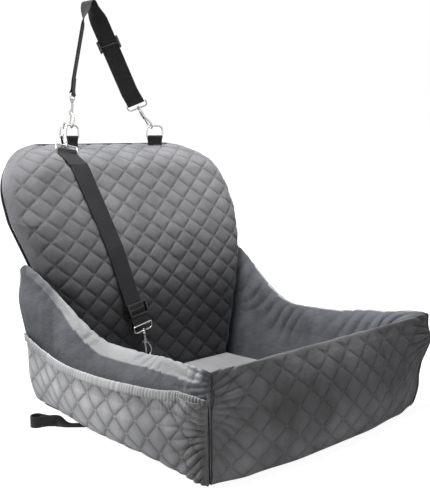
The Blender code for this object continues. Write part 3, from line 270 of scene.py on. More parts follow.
def wall_station(kind, value):
    """Foot, outward direction, stretch and shape of the wall at a place along it."""
    if kind == "side":
        near = smooth(1 - (value + FLOOR_FRONT) / CORNER_BLEND)
        return (FLOOR_HALF_WIDTH, value), (1, 0), 1.0, "side", 0.5 * near, arm_height(value)
    if kind == "front":
        near = smooth(1 - (FLOOR_HALF_WIDTH - abs(value)) / CORNER_BLEND)
        return (value, -FLOOR_FRONT), (0, -1), 1.0, "front", 0.5 * near, FRONT_HEIGHT
    from_side = value < pi / 4
    nearest = value if from_side else pi / 2 - value
    corner = 0.5 + 0.5 * smooth(nearest / (pi / 4))
    stretch = 1 + CORNER_SHARP_SHARE * (1 / cos(nearest) - 1)
    height = arm_height(-FLOOR_FRONT) if from_side else FRONT_HEIGHT
    form = "side" if from_side else "front"
    return (FLOOR_HALF_WIDTH, -FLOOR_FRONT), (cos(value), -sin(value)), stretch, form, corner, height


def wall_section(form, corner, height, taper):
    """Wall section from its inner foot over the ridge to its outer foot, and where its ridge is."""
    lean = mix(LEAN[form], LEAN["corner"], corner)
    bulge = mix(mix(BULGE[form], BULGE["rear"], taper), BULGE["corner"], corner)
    foot = mix(mix(FOOT[form], FOOT["rear"], taper), FOOT["corner"], corner)
    top = mix(height, CORNER_HEIGHT, corner)
    rise = top - BASE_TOP
    ridge = lean * rise + RIDGE_ROUND
    belly = max(bulge - ridge, RIDGE_ROUND)
    points = [(lean * rise * s, BASE_TOP + rise * s) for s in (0.0, 0.3, 0.6, 0.88)]
    points += [(ridge, top), (ridge + 0.42 * belly, top - 0.10 * rise), (ridge + 0.80 * belly, top - 0.28 * rise),
               (bulge, BASE_TOP + 0.42 * rise), (mix(foot, bulge, 0.86), BASE_TOP + 0.2 * rise),
               (mix(foot, bulge, 0.40), BASE_TOP + 0.045 * rise), (foot, BASE_TOP)]
    outline = curve_through(points, 120)
    return outline, int(outline[:, 1].argmax())


def wall_row(station, inner_count, outer_count):
    """Points over the wall at one station, from its inner foot to its outer foot."""
    place, out, stretch, form, corner, height = wall_station(*station)
    taper = smooth(place[1] / BACK_FOOT_Y) if form == "side" else 0.0
    outline, split = wall_section(form, corner, height, taper)
    points = np.vstack([even_points(outline[:split + 1], inner_count), even_points(outline[split:], outer_count)[1:]])
    row = np.zeros((len(points), 3))
    row[:, 0] = place[0] + out[0] * points[:, 0] * stretch
    row[:, 1] = place[1] + out[1] * points[:, 0] * stretch
    row[:, 2] = points[:, 1]
    return row


def surface_normals(rows):
    """Unit normals of a grid of points."""
    along = np.gradient(rows, axis=0)
    across = np.gradient(rows, axis=1)
    normal = np.cross(along, across)
    return normal / np.maximum(np.linalg.norm(normal, axis=2, keepdims=True), 1e-12)


def arc_lengths(rows, axis):
    """Distance along a grid of points from its first row or column."""
    steps = np.linalg.norm(np.diff(rows, axis=axis), axis=2)
    pad = [(0, 0), (0, 0)]
    pad[axis] = (1, 0)
    return np.cumsum(np.pad(steps, pad), axis=axis)


def lattice(across, up):
    """Quilting coordinates: a sewn channel runs wherever one of the two is a whole number."""
    a = across / sizes().quilt_width
    b = up / sizes().quilt_height
    return a + b, a - b


def quilt_height(u, v):
    """Puffed height of the quilting, 0 in a channel and 1 at the middle of a diamond."""
    near_u, near_v = np.abs(np.sin(pi * u)), np.abs(np.sin(pi * v))
    wide = rising(near_u, CHANNEL_HALF, 1 - CHANNEL_HALF) * rising(near_v, CHANNEL_HALF, 1 - CHANNEL_HALF)
    knot = np.clip(1 - np.hypot(near_u, near_v) / STITCH_KNOT_REACH, 0, 1)
    return wide ** 0.30 + STITCH_KNOT_HEIGHT * knot


def noise_field(rows, scale, seed):
    """Soft noise in space, one value for each point."""
    offset = Vector((seed, seed * 0.7, -seed))
    values = [noise.noise(Vector(point) * scale + offset) for point in rows.reshape(-1, 3)]
    return np.array(values).reshape(rows.shape[:2])


def folds(distance, wobble, pitch):
    """Rounded ridges with sharp valleys across a distance."""
    wave = np.abs(np.sin(pi * (distance / pitch + wobble)))
    return wave ** 0.6


def cloth_mesh(name, rows, uv=None, attributes=None):
    """Closed quad skin over a grid of points, made from a bmesh grid that is moved to them."""
    rows = np.asarray(rows, float)
    count, width = rows.shape[:2]
    bm = bmesh.new()
    bmesh.ops.create_grid(bm, x_segments=width - 1, y_segments=count - 1, size=1.0)
    layer = bm.loops.layers.uv.new("cloth")
    extra = {key: bm.verts.layers.float.new(key) for key in (attributes or {})}
    uv = np.stack(np.meshgrid(np.arange(width), np.arange(count)), axis=2) * 1.0 if uv is None else uv
    where = {vert: (round((vert.co.y + 1) / 2 * (count - 1)), round((vert.co.x + 1) / 2 * (width - 1)))
             for vert in bm.verts}
    for face in bm.faces:
        for loop in face.loops:
            loop[layer].uv = uv[where[loop.vert]]
    for vert, cell in where.items():
        vert.co = rows[cell]
        for key, lay in extra.items():
            vert[lay] = float(attributes[key][cell])
    bmesh.ops.remove_doubles(bm, verts=bm.verts, dist=GRID_WELD)
    rim = [edge for edge in bm.edges if edge.is_boundary]
    bmesh.ops.holes_fill(bm, edges=rim, sides=0)
    return smooth_mesh(name, bm)


def smooth_mesh(name, bm):
    """Mesh with outward normals and smooth faces, from a bmesh that ends here."""
    bmesh.ops.recalc_face_normals(bm, faces=bm.faces)
    for face in bm.faces:
        face.smooth = True
    mesh = bpy.data.meshes.new(name)
    bm.to_mesh(mesh)
    bm.free()
    return mesh


def flip(rows):
    return rows * np.array([-1.0, 1.0, 1.0])


def sided(rows, side):
    """Rows of a piece made for the right side, on the given side."""
    return flip(rows) if side == "left" else rows


def linked(name, data):
    """New object in the scene."""
    obj = bpy.data.objects.new(name, data)
    bpy.context.scene.collection.objects.link(obj)
    return obj


def add_piece(name, mesh, finish, node, body="seat", subdivide=0):
    """Piece in place, riding on its body and standing for its solid."""
    obj = linked(name, mesh)
    mesh.materials.clear()
    mesh.materials.append(material(finish))
    if subdivide:
        modifier = obj.modifiers.new("Subdivision", "SUBSURF")
        modifier.levels = modifier.render_levels = subdivide
    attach(obj, body)
    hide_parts(node)
    return obj


# Materials

class Finish:
    """Node graph of one finish, with short calls for its nodes."""

    def __init__(self, name):
        self.material = bpy.data.materials.new(name)
        self.material.use_nodes = True
        self.tree = self.material.node_tree
        self.shader = self.tree.nodes["Principled BSDF"]

    def node(self, kind, inputs=None, **settings):
        made = self.tree.nodes.new(kind)
        for key, value in settings.items():
            setattr(made, key, value)
        for key, value in (inputs or {}).items():
            self.feed(value, made.inputs[key])
        return made

    def feed(self, value, socket):
        if isinstance(value, bpy.types.NodeSocket):
            self.tree.links.new(value, socket)
        elif isinstance(value, tuple) and len(value) == 3 and socket.type == "RGBA":
            socket.default_value = (*value, 1.0)
        else:
            socket.default_value = value

    def math(self, operation, a, b=0.0):
        return self.node("ShaderNodeMath", {0: a, 1: b}, operation=operation).outputs[0]

    def times(self, a, b):
        return self.math("MULTIPLY", a, b)

    def plus(self, a, b):
        return self.math("ADD", a, b)

    def axes(self, space):
        return self.node("ShaderNodeSeparateXYZ", {0: space}).outputs

    def place(self):
        """Place on the object."""
        return self.node("ShaderNodeTexCoord").outputs["Object"]

    def weave(self):
        """The two coordinates of the cloth."""
        return self.axes(self.node("ShaderNodeUVMap", uv_map="cloth").outputs[0])[:2]

    def blend(self, share, a, b, mode="MIX"):
        made = self.node("ShaderNodeMix", data_type="RGBA", blend_type=mode)
        self.feed(share, made.inputs[0])
        self.feed(a, made.inputs[6])
        self.feed(b, made.inputs[7])
        return made.outputs[2]

    def tint(self, tone, mask, strength, colour, mode="MIX"):
        """The tone with a colour laid over it where the mask is 1."""
        return self.blend(self.times(mask, strength), tone, colour, mode)

    def ramp(self, value, low, high):
        return self.node("ShaderNodeMapRange", {0: value, 1: low, 2: high}).outputs[0]

    def noise(self, scale, detail=2.0, stretch=(1, 1, 1), rough=0.5):
        mapped = self.node("ShaderNodeMapping", {"Vector": self.place(), "Scale": stretch}).outputs[0]
        made = self.node("ShaderNodeTexNoise", {"Vector": mapped, "Scale": scale, "Detail": detail,
                                                "Roughness": rough})
        return made.outputs["Fac"]

    def attribute(self, name):
        return self.node("ShaderNodeAttribute", attribute_name=name).outputs["Fac"]

    def fold_shade_mask(self):
        """1 in the depth of a fold or a sewn channel, where painted shade goes."""
        return self.math("SUBTRACT", 1.0, self.attribute("puff"))

    def off_line(self, axis):
        """Distance from the nearest whole number."""
        part = self.math("FRACT", self.plus(axis, 0.5))
        return self.math("ABSOLUTE", self.math("SUBTRACT", part, 0.5))

    def bump(self, height, strength, distance, normal=None):
        inputs = {"Height": height, "Strength": strength, "Distance": distance}
        if normal is not None:
            inputs["Normal"] = normal
        return self.node("ShaderNodeBump", inputs).outputs[0]

    def set(self, **values):
        for key, value in values.items():
            self.feed(value, self.shader.inputs[key.replace("_", " ")])


def shade(colour, share):
    return tuple(min(c * share, 1.0) for c in colour)


def stitch_lines(finish, offset=0.034, half_width=0.011):
    """1 on the doubled sewing threads beside each channel of the quilting, in dashes."""
    axes = finish.weave()
    lines = []
    for across, along in (axes, axes[::-1]):
        near = finish.math("ABSOLUTE", finish.math("SUBTRACT", finish.off_line(across), offset))
        dash = finish.math("LESS_THAN", finish.math("FRACT", finish.times(along, 13.0)), 0.72)
        lines.append(finish.times(finish.math("LESS_THAN", near, half_width), dash))
    return finish.math("MAXIMUM", *lines)


def knots(finish, reach=0.075):
    """1 on the small sewn squares where two channels cross."""
    near = [finish.off_line(axis) for axis in finish.weave()]
    return finish.ramp(finish.math("MAXIMUM", *near), reach, reach * 0.4)


def velvet(name, colour, quilted=False, crest_highlight=None, nap=0.22, thread=0.45, fold_shade=0.0, shade_ramps=(),
           crumple=0.0010, channel_shade=0.30):
    """Short-pile velvet: pile patches, fine pile, sheen, painted shade and highlight and, where quilted, sewn channels.

    nap is how far the patches differ, crest_highlight the colour of the painted highlight on the lit ridge,
    fold_shade and channel_shade how much painted shade darkens folds and channels, thread the tone of the
    sewing thread, and crumple the height of soft crumples. Each row of shade_ramps is an axis, the places
    where the painted shade starts and is full, and a share.
    """
    finish = Finish(name)
    patches = finish.ramp(finish.noise(11.0, 4.0, rough=0.55), 0.36, 0.64)
    streaks = finish.ramp(finish.noise(46.0, 3.0, stretch=(1.0, 1.0, 0.28)), 0.30, 0.70)
    pile = finish.noise(900.0, 1.0)
    tone = finish.blend(patches, shade(colour, 1 - nap), shade(colour, 1 + nap))
    tone = finish.tint(tone, streaks, 0.35, shade(colour, 1 + nap * 1.4))
    tone = finish.tint(tone, finish.ramp(pile, 0.35, 0.65), 0.16, shade(colour, 0.55))
    # Painted highlight: lighter colour along the lit top of the side walls, where the crest_highlight attribute is
    # high.
    if crest_highlight:
        crest_lit = finish.plus(finish.attribute("crest_highlight"), finish.times(finish.noise(24.0, 3.0), 0.12))
        crest_lit = finish.ramp(crest_lit, 0.42, 0.64)
        tone = finish.blend(crest_lit, tone, finish.blend(patches, shade(crest_highlight, 1 - nap * 0.5), shade(crest_highlight, 1.08)))
    # Painted shade: darker colour in the folds, by fold_shade.
    if fold_shade:
        tone = finish.tint(tone, finish.fold_shade_mask(), fold_shade, shade(colour, 0.30))
    height = finish.plus(finish.times(pile, 0.5), finish.times(streaks, 0.4))
    normal = finish.bump(height, 0.25, 0.0006)
    normal = finish.bump(finish.noise(38.0, 3.0, stretch=(1.0, 1.0, 1.5), rough=0.6), 0.8, crumple, normal)
    if quilted:
        lines = stitch_lines(finish)
        # Painted shade: darker colour in the sewn channels, by channel_shade.
        tone = finish.tint(tone, finish.fold_shade_mask(), channel_shade, shade(colour, 0.45))
        tone = finish.tint(tone, knots(finish), 0.55, shade(colour, 1.45))
        tone = finish.tint(tone, lines, 0.75, shade(colour, thread))
        normal = finish.bump(finish.times(lines, -1.0), 0.6, 0.0005, normal)
    # Painted shade: the colour is multiplied darker along an axis, from the light place to the dark place.
    for axis, light, dark, share in shade_ramps:
        place = finish.plus(finish.axes(finish.place())[axis], finish.times(finish.noise(7.0, 2.0), 0.05))
        tone = finish.tint(tone, finish.ramp(place, light, dark), share, (0.15, 0.15, 0.15), "MULTIPLY")
    finish.set(Base_Color=tone, Roughness=0.88, Sheen_Weight=0.35, Sheen_Roughness=0.45, Specular_IOR_Level=0.2,
               Normal=normal)
    finish.shader.inputs["Sheen Tint"].default_value = (0.8, 0.82, 0.88, 1.0)
    return finish.material


def webbing_finish():
    """Woven polyester webbing: fine ribs across and slight wear."""
    finish = Finish("woven_webbing")
    colour = tuple(colours().webbing)
    yarns, ribs = (finish.math("ABSOLUTE", finish.math("SINE", finish.times(axis, 2 * pi / pitch)))
                   for axis, pitch in zip(finish.weave(), (1.8, 2.2)))
    weave = finish.times(ribs, finish.plus(finish.times(yarns, 0.5), 0.5))
    tone = finish.blend(weave, shade(colour, 0.55), shade(colour, 1.35))
    tone = finish.tint(tone, finish.ramp(finish.noise(30.0, 3.0), 0.35, 0.65), 0.25, shade(colour, 2.0))
    finish.set(Base_Color=tone, Roughness=0.70, Sheen_Weight=0.05, Specular_IOR_Level=0.2,
               Normal=finish.bump(weave, 0.6, 0.0004))
    return finish.material


def metal_finish():
    """Bright nickel plate with faint casting ripple and dulled spots."""
    finish = Finish("nickel_plate")
    colour = tuple(colours().metal)
    spots = finish.ramp(finish.noise(160.0, 3.0), 0.35, 0.70)
    tone = finish.blend(spots, colour, shade(colour, 0.86))
    finish.set(Base_Color=tone, Metallic=1.0, Roughness=finish.plus(finish.times(spots, 0.14), 0.14),
               Normal=finish.bump(finish.noise(420.0, 2.0), 0.12, 0.0003))
    return finish.material


def plastic_finish():
    """Moulded black nylon with a fine grain and scuffed patches."""
    finish = Finish("moulded_nylon")
    grain = finish.noise(1500.0, 1.0)
    scuffs = finish.ramp(finish.noise(90.0, 4.0), 0.55, 0.75)
    tone = finish.blend(scuffs, (0.018, 0.018, 0.019), (0.045, 0.045, 0.047))
    finish.set(Base_Color=tone, Roughness=finish.plus(finish.times(scuffs, 0.15), 0.38),
               Normal=finish.bump(grain, 0.15, 0.0002))
    return finish.material


def black_cloth_finish():
    """Coated black base cloth with a fine crosswise weave."""
    finish = Finish("black_base_cloth")
    weave = finish.noise(700.0, 2.0, stretch=(1.0, 1.0, 3.0))
    patches = finish.ramp(finish.noise(14.0, 3.0), 0.35, 0.65)
    tone = finish.blend(patches, (0.012, 0.012, 0.013), (0.024, 0.024, 0.026))
    tone = finish.tint(tone, weave, 0.4, (0.04, 0.04, 0.043))
    finish.set(Base_Color=tone, Roughness=0.85, Sheen_Weight=0.05, Specular_IOR_Level=0.15,
               Normal=finish.bump(weave, 0.35, 0.0004))
    return finish.material


def board_finish():
    """Pressed fibre board with flecks."""
    finish = Finish("fibre_board")
    flecks = finish.noise(260.0, 4.0, stretch=(1.0, 0.3, 1.0))
    tone = finish.blend(flecks, (0.16, 0.12, 0.08), (0.34, 0.27, 0.19))
    finish.set(Base_Color=tone, Roughness=0.85, Normal=finish.bump(flecks, 0.3, 0.0005))
    return finish.material


MADE = {}


def material(name):
    """The finish of that name, made once."""
    if name not in MADE:
        c = colours()
        # Painted shade along an axis: the pockets and hem darker towards the front corner, the front wall darker up
        # from its foot and towards its right, the backrest darker towards its bottom and its left, the walls darker
        # towards their feet and to the left.
        pocket_shade = ((1, 0.04, -0.24, 0.68), (1, -0.22, -0.29, 0.45))
        hem_shade = ((1, 0.04, -0.24, 0.55), (1, -0.22, -0.29, 0.45))
        front_shade = ((2, 0.0, 0.12, 0.62), (0, -0.28, -0.02, 0.30))
        velvets = {
            "back": ("quilted_back_velvet", c.back_velvet, dict(
                quilted=True, thread=0.60, crumple=0.0012, shade_ramps=((2, 0.40, 0.16, 0.95), (0, -0.05, -0.27, 0.52)))),
            "pocket": ("quilted_pocket_velvet", c.pocket_velvet, dict(
                quilted=True, thread=0.5, fold_shade=0.75, crumple=0.0020, shade_ramps=pocket_shade)),
            "hem": ("gathered_hem_velvet", c.pocket_velvet, dict(nap=0.15, fold_shade=0.7, shade_ramps=hem_shade)),
            "front": ("quilted_front_velvet", c.front_velvet, dict(
                quilted=True, nap=0.34, thread=0.55, shade_ramps=front_shade, crumple=0.0026, channel_shade=0.45)),
            "wall": ("plain_wall_velvet", c.wall_velvet, dict(
                crest_highlight=tuple(c.crest_highlight_colour), nap=0.32, crumple=0.0030, fold_shade=0.7,
                shade_ramps=((2, 0.22, 0.04, 0.70), (0, 0.10, -0.10, 0.33)))),
            "floor": ("plain_floor_velvet", c.floor_velvet, dict(nap=0.16)),
        }
        others = {"webbing": webbing_finish, "metal": metal_finish, "plastic": plastic_finish,
                  "cloth": black_cloth_finish, "board": board_finish}
        if name in velvets:
            title, colour, looks = velvets[name]
            MADE[name] = velvet(title, tuple(colour), **looks)
        else:
            MADE[name] = others[name]()
    return MADE[name]


# Back, walls and floor

def rear_y(z):
    low = BACK_FOOT_Y + tan(LOWER_LEAN) * min(z, BACK_BEND_Z)
    return low + tan(UPPER_LEAN) * max(z - BACK_BEND_Z, 0.0)


def face_y(z):
    """Front face of the backrest padding at its middle, rounded over the bend."""
    near = max(1 - abs(z - BACK_BEND_Z) / BACK_BEND_ROUND, 0.0)
    rounding = tan(UPPER_LEAN) * BACK_BEND_ROUND / 4 * near * near
    return rear_y(z) + rounding - mix(BACK_LOW_THICKNESS, BACK_TOP_THICKNESS, min(z / BACK_BEND_Z, 1.0)) - BACK_CROWN


def padding_y(z, room=1.0):
    """Front face of the backrest padding, rounded in at the top; room is the share of its depth."""
    over = max((z - (BACK_TOP - BACK_TOP_ROUND)) / BACK_TOP_ROUND, 0.0)
    edge = rear_y(z) - BACK_REAR_INSET
    return edge - (edge - face_y(z)) * max(1 - over * over, 0.0) ** 0.5 * room


def back_half_width(z):
    """Half width of the backrest: it fills the space between the arms and flares above them."""
    if z < BACK_WIDEST_Z:
        low = FLOOR_HALF_WIDTH + LEAN["side"] * (z - BASE_TOP) - SOFT_GAP * 3
        start = BACK_BEND_Z * 0.8
        return min(low, mix(low, BACK_MAX_HALF_WIDTH, smooth((z - start) / (BACK_WIDEST_Z - start))))
    share = min(max((z - BACK_TOP) / BACK_CORNER_RADIUS + 1.0, 0.0), 1.0)
    return BACK_MAX_HALF_WIDTH - BACK_CORNER_RADIUS * (1 - max(1 - share * share, 0.0) ** 0.5)


def back_row(z, front_count, rear_count):
    """Ring round the backrest at a height, from its left edge over the front and back along the rear."""
    half, rear = back_half_width(z), rear_y(z)
    x = half * np.sin(np.linspace(-pi / 2, pi / 2, 181))
    over = np.maximum((np.abs(x) - (half - BACK_SIDE_ROUND)) / BACK_SIDE_ROUND, 0.0)
    room = mix(BACK_EDGE_SHARE, 1.0, np.sqrt(np.maximum(1 - over * over, 0.0)))
    front = even_points(np.stack([x, padding_y(z, room), np.full_like(x, z)], axis=1), front_count)
    inner = half - BACK_REAR_INSET
    seam = BACK_REAR_INSET * 1.15
    rear -= seam * 0.8 * min(max((z - BACK_TOP) / seam + 1.0, 0.0), 1.0)
    bend = half - BACK_REAR_INSET * 0.1
    flat = [(inner * s, rear, z) for s in np.linspace(1.0, -1.0, rear_count - 4)]
    return np.vstack([front, [(bend, rear - seam, z)], flat, [(-bend, rear - seam, z)], front[:1]])


def back_heights(count):
    foot, shoulder = BASE_TOP + SOFT_GAP, BACK_TOP - BACK_TOP_ROUND
    turn = np.linspace(0, pi / 2, count // 4 + 1)[1:]
    return np.concatenate([np.linspace(foot, shoulder, count - len(turn)),
                           shoulder + BACK_TOP_ROUND * np.sin(turn * 0.985)])


def build_back():
    front_count, rear_count, levels = fineness((241, 22, 270))
    rows = np.array([back_row(z, front_count, rear_count) for z in back_heights(levels)])
    middle = (front_count - 1) // 2
    across = arc_lengths(rows, 1)
    across = across - across[:, middle:middle + 1]
    up = np.repeat(arc_lengths(rows, 0)[:, middle:middle + 1], rows.shape[1], axis=1)
    u, v = lattice(across, up + 0.5 * sizes().quilt_height)
    puff = quilt_height(u, v)
    face = np.zeros(rows.shape[1])
    face[:front_count] = edge_weight(front_count, front_count / 40)
    normal = surface_normals(rows)
    normal *= np.sign(-normal[levels // 3, middle, 1])
    soft = noise_field(rows, 26.0, 3.0) * 0.0012
    lift = -((1 - puff) * sizes().quilt_depth + np.abs(soft)) * face
    rows = rows + normal * lift[:, :, None]
    # The puff attribute carries the painted shade of the sewn channels.
    mesh = cloth_mesh("back_pad", rows, uv=np.stack([u, v], axis=2), attributes={"puff": puff * face + (1 - face)})
    pad = add_piece("back_pad", mesh, "back", "back_cushion")


def with_bottom(rows, steps=6):
    """Adds the flat bottom, from the outer foot back to the inner one, so that the section closes."""
    shares = np.linspace(0, 1, steps + 1)[1:, None]
    return np.array([np.vstack([row, row[-1] + (row[0] - row[-1]) * shares]) for row in rows])


def wall_grid(stations, inner_count, outer_count):
    return np.array([wall_row(s, inner_count, outer_count) for s in stations])


def wall_places(rows, inner_count, outer_count):
    """Outward directions of a wall, and the distance across from its ridge and along it, at each point."""
    ridge = inner_count - 1
    normal = surface_normals(rows)
    normal *= np.sign(normal[len(rows) // 2, ridge, 2])
    across = arc_lengths(rows, 1)
    middle = ridge + outer_count // 3
    along = np.repeat(arc_lengths(rows, 0)[:, middle:middle + 1], rows.shape[1], axis=1)
    return normal, across - across[:, ridge:ridge + 1], along


def corner_folds(distance, across, wobble, level, pitch, reach, start):
    """1 in the valleys of the folds that spread from the corner seam, at a level below the ridge."""
    turn = np.arctan2(across - level, distance + 0.05)
    return (1 - folds(turn, wobble * 0.05, pitch)) * hump(distance, 0, reach) * rising(across, start, 0.03)


def sewn_wall(rows, normal, lift, distance, across):
    """Wall with its folds, drawn in at its sewn ends and at the corner's knot, and the painted shade of these two."""
    seam = edge_weight(len(rows), 10)[:, None]
    feet = edge_weight(rows.shape[1], 9)
    knot = hump(distance, 0, KNOT_WIDTH) * hump(across, KNOT_LEVEL, KNOT_HEIGHT)
    lift = lift * feet * seam - (1 - seam) ** 2 * SEAM_PULL * feet - knot * KNOT_DEPTH
    return rows + normal * lift[:, :, None], knot * 0.8 + (1 - seam) * 0.5


def build_side_wall(side):
    counts = fineness((80, 108))
    run = stations("side", BACK_FOOT_Y, -FLOOR_FRONT, RUN_STATIONS)
    rows = wall_grid(run + stations("fan", 0, pi / 4, FAN_STATIONS)[1:], *counts)
    rows[-1, :, :2] += MITRE_SHIFT
    normal, across, along = wall_places(rows, *counts)
    distance = along[-1] - along
    seed = WALL_SEED[side]
    loose = noise_field(rows, 15.0, seed) * 0.9 + noise_field(rows, 42.0, seed + 3) * 0.35
    wobble = noise_field(rows, 9.0, seed + 7) * 1.1
    slanted = 1 - folds(along * 0.8 - across * 0.6, wobble, FOLD_PITCH)
    slanted *= hump(across, FOLD_LEVEL, FOLD_REACH) * np.clip(0.70 + noise_field(rows, 11.0, seed + 11) * 1.2, 0, 1)
    radiating = corner_folds(distance, across, wobble, **SIDE_CORNER_FOLDS)
    pinched = (1 - folds(along + across * 0.8, wobble * 0.6, PINCH_PITCH)) * hump(across, PINCH_LEVEL, PINCH_REACH)
    pinched *= np.clip(noise_field(rows, 12.0, seed + 19) * 2.5 + 0.2, 0, 1)
    lift = -(np.abs(loose) + slanted * 2.7 + radiating * 2.4 + pinched * 2.0) * sizes().crease_depth
    rows, dark = sewn_wall(rows, normal, lift, distance, across)
    y = rows[:, :, 1]
    rows[:, :, 2] -= TIP_DROP * rising(y, BACK_FOOT_Y - TIP_LENGTH, TIP_LENGTH) ** 2 * rising(rows[:, :, 2], 0.20, 0.06)
    # Painted highlight mask for the lit top of the wall, weaker towards the rear and gone at the tip.
    crest_highlight = rising(across, CREST_INNER, 0.006) * falling(across, CREST_OUTER, 0.013) * rising(distance, 0.006, 0.030)
    crest_highlight *= np.clip((0.24 - y) / 0.18, 0.45, 1) * falling(y, 0.247, 0.02)
    # Painted shade mask: fold valleys, the corner knot and the sewn ends darker through the puff attribute.
    puff = 1 - np.clip(slanted + radiating * 0.7 + pinched * 0.55 + dark, 0, 1)
    body = with_bottom(rows)
    bottom = np.zeros((len(rows), body.shape[1] - rows.shape[1]))
    name = "side_wall_" + side
    mesh = cloth_mesh(name, sided(body, side), attributes={"crest_highlight": np.hstack([crest_highlight, bottom]),
                                                           "puff": np.hstack([puff, bottom + 1])})
    wall = add_piece(name, mesh, "wall", "side_bolster_" + side)


def build_front_wall():
    counts = fineness((70, 120))
    right = wall_grid(stations("fan", pi / 4, pi / 2, FAN_STATIONS)[:-1], *counts)
    right[0, :, :2] -= MITRE_SHIFT
    run = stations("front", FLOOR_HALF_WIDTH, -FLOOR_HALF_WIDTH, FRONT_STATIONS)
    rows = np.concatenate([right, wall_grid(run, *counts), flip(right)[::-1]])
    normal, across, along = wall_places(rows, *counts)
    ends = np.minimum(along, along[-1] - along)
    u, v = lattice(along - along[len(rows) // 2], across)
    puff = quilt_height(u, v)
    outer = rising(across, 0.004, 0.010)
    wobble = noise_field(rows, 10.0, 31.0) * 0.8
    radiating = corner_folds(ends, across, wobble, **FRONT_CORNER_FOLDS)
    loose = np.abs(noise_field(rows, 18.0, 29.0))
    lift = -(1 - puff) * outer * sizes().wall_quilt_depth - (loose + radiating * 2.8) * sizes().crease_depth
    rows, dark = sewn_wall(rows, normal, lift, ends, across)
    body = with_bottom(rows)
    bottom = (len(rows), body.shape[1] - rows.shape[1])
    uv = np.where((outer > 0.02)[:, :, None], np.stack([u, v], axis=2), 0.5)
    uv = np.concatenate([uv, np.full((*bottom, 2), 0.5)], axis=1)
    # Painted shade mask: sewn channels, corner folds, the corner knot and the sewn ends darker through the puff
    # attribute.
    seen = (puff * outer + (1 - outer)) * (1 - np.clip(radiating * 0.7 + dark, 0, 1))
    mesh = cloth_mesh("front_wall", body, uv=uv, attributes={"puff": np.hstack([seen, np.ones(bottom)])})
    wall = add_piece("front_wall", mesh, "front", "front_bolster")


def build_floor_pad():
    foot = BASE_TOP + SOFT_GAP
    half = FLOOR_HALF_WIDTH - SOFT_GAP
    front, rear = -FLOOR_FRONT + SOFT_GAP, face_y(0) - FLOOR_REAR_GAP - SOFT_GAP
    x = np.linspace(-half, half, 90)
    rim = mix(foot, FLOOR_TOP, 0.55)
    edge = falling(np.abs(x), half, FLOOR_EDGE_ROUND * 3)
    edge = edge * edge * (3 - 2 * edge)
    under = [((half - FLOOR_EDGE_ROUND / 2) * s, foot) for s in np.linspace(1, -1, 12)]
    rows = []
    for share in np.linspace(0, 1, 90):
        crown = sin(pi * share) ** 0.5 if 0 < share < 1 else 0.0
        z = rim + (FLOOR_TOP + FLOOR_CROWN * crown - rim) * edge * min(crown * 3 + 0.35, 1.0)
        ring = np.vstack([np.stack([x, z], axis=1), under, [(x[0], z[0])]])
        rows.append(np.insert(ring, 1, mix(front, rear, share), axis=1))
    rows = np.array(rows)
    soft = np.abs(noise_field(rows, 14.0, 41.0))
    rows[4:-4, 4:86, 2] -= soft[4:-4, 4:86] * FLOOR_SAG
    pad = add_piece("floor_pad", cloth_mesh("floor_pad", rows), "floor", "floor_cushion")


# Pockets, hems and piping

def hem_height(y):
    middle = (POCKET_REAR_Y - FLOOR_FRONT) / 2
    if y > middle:
        return mix(HEM_LOW_HEIGHT, HEM_REAR_HEIGHT, ((y - middle) / (POCKET_REAR_Y - middle)) ** 2)
    return mix(HEM_LOW_HEIGHT, HEM_FRONT_HEIGHT, min(((middle - y) / (middle + FLOOR_FRONT)) ** 2, 1.0))


def pocket_base(places, rows_down):
    """Wall surface behind a pocket, from under its hem down to the wall's foot."""
    grid = []
    for kind, value in places:
        points = wall_row((kind, value), 2, 80)[1:]
        top = hem_height(value) if kind == "side" else hem_height(-FLOOR_FRONT) + HEM_CORNER_RISE * value / (pi / 4)
        first = int(np.argmax(points[:, 2] <= top))
        share = (points[first - 1, 2] - top) / (points[first - 1, 2] - points[first, 2])
        start = points[first - 1] + (points[first] - points[first - 1]) * share
        grid.append(even_points(np.vstack([start, points[first:]]), rows_down + 1))
    return np.array(grid)


def pocket_surface(count, rows_down):
    """Grid of the wall behind the pocket, outward directions and the pocket's room at each point."""
    fan = count // 6
    places = stations("side", POCKET_REAR_Y, -FLOOR_FRONT, count - fan)
    places += stations("fan", 0, POCKET_FAN, fan + 1)[1:]
    base = pocket_base(places, rows_down)
    normal = surface_normals(base)
    normal *= np.sign(normal[count // 2, rows_down // 2, 0])
    along = np.linspace(0, 1, count)[:, None]
    down = np.linspace(0, 1, rows_down + 1)[None, :]
    ends = np.sin(pi * along).clip(0, 1) ** 0.6
    swell = np.sin(pi * np.minimum(0.08 + 0.92 * down, 1.0)).clip(0, 1) ** 0.7
    room = SOFT_GAP + ends * np.maximum(POCKET_ROOM * swell, POCKET_MOUTH * (1 - down) ** 2)
    return base, normal, room


def both_faces(outer, inner):
    """Ring over a sheet's outer face, back over its inner face and on to the start."""
    return np.concatenate([outer, inner[:, ::-1], outer[:, :1]], axis=1)


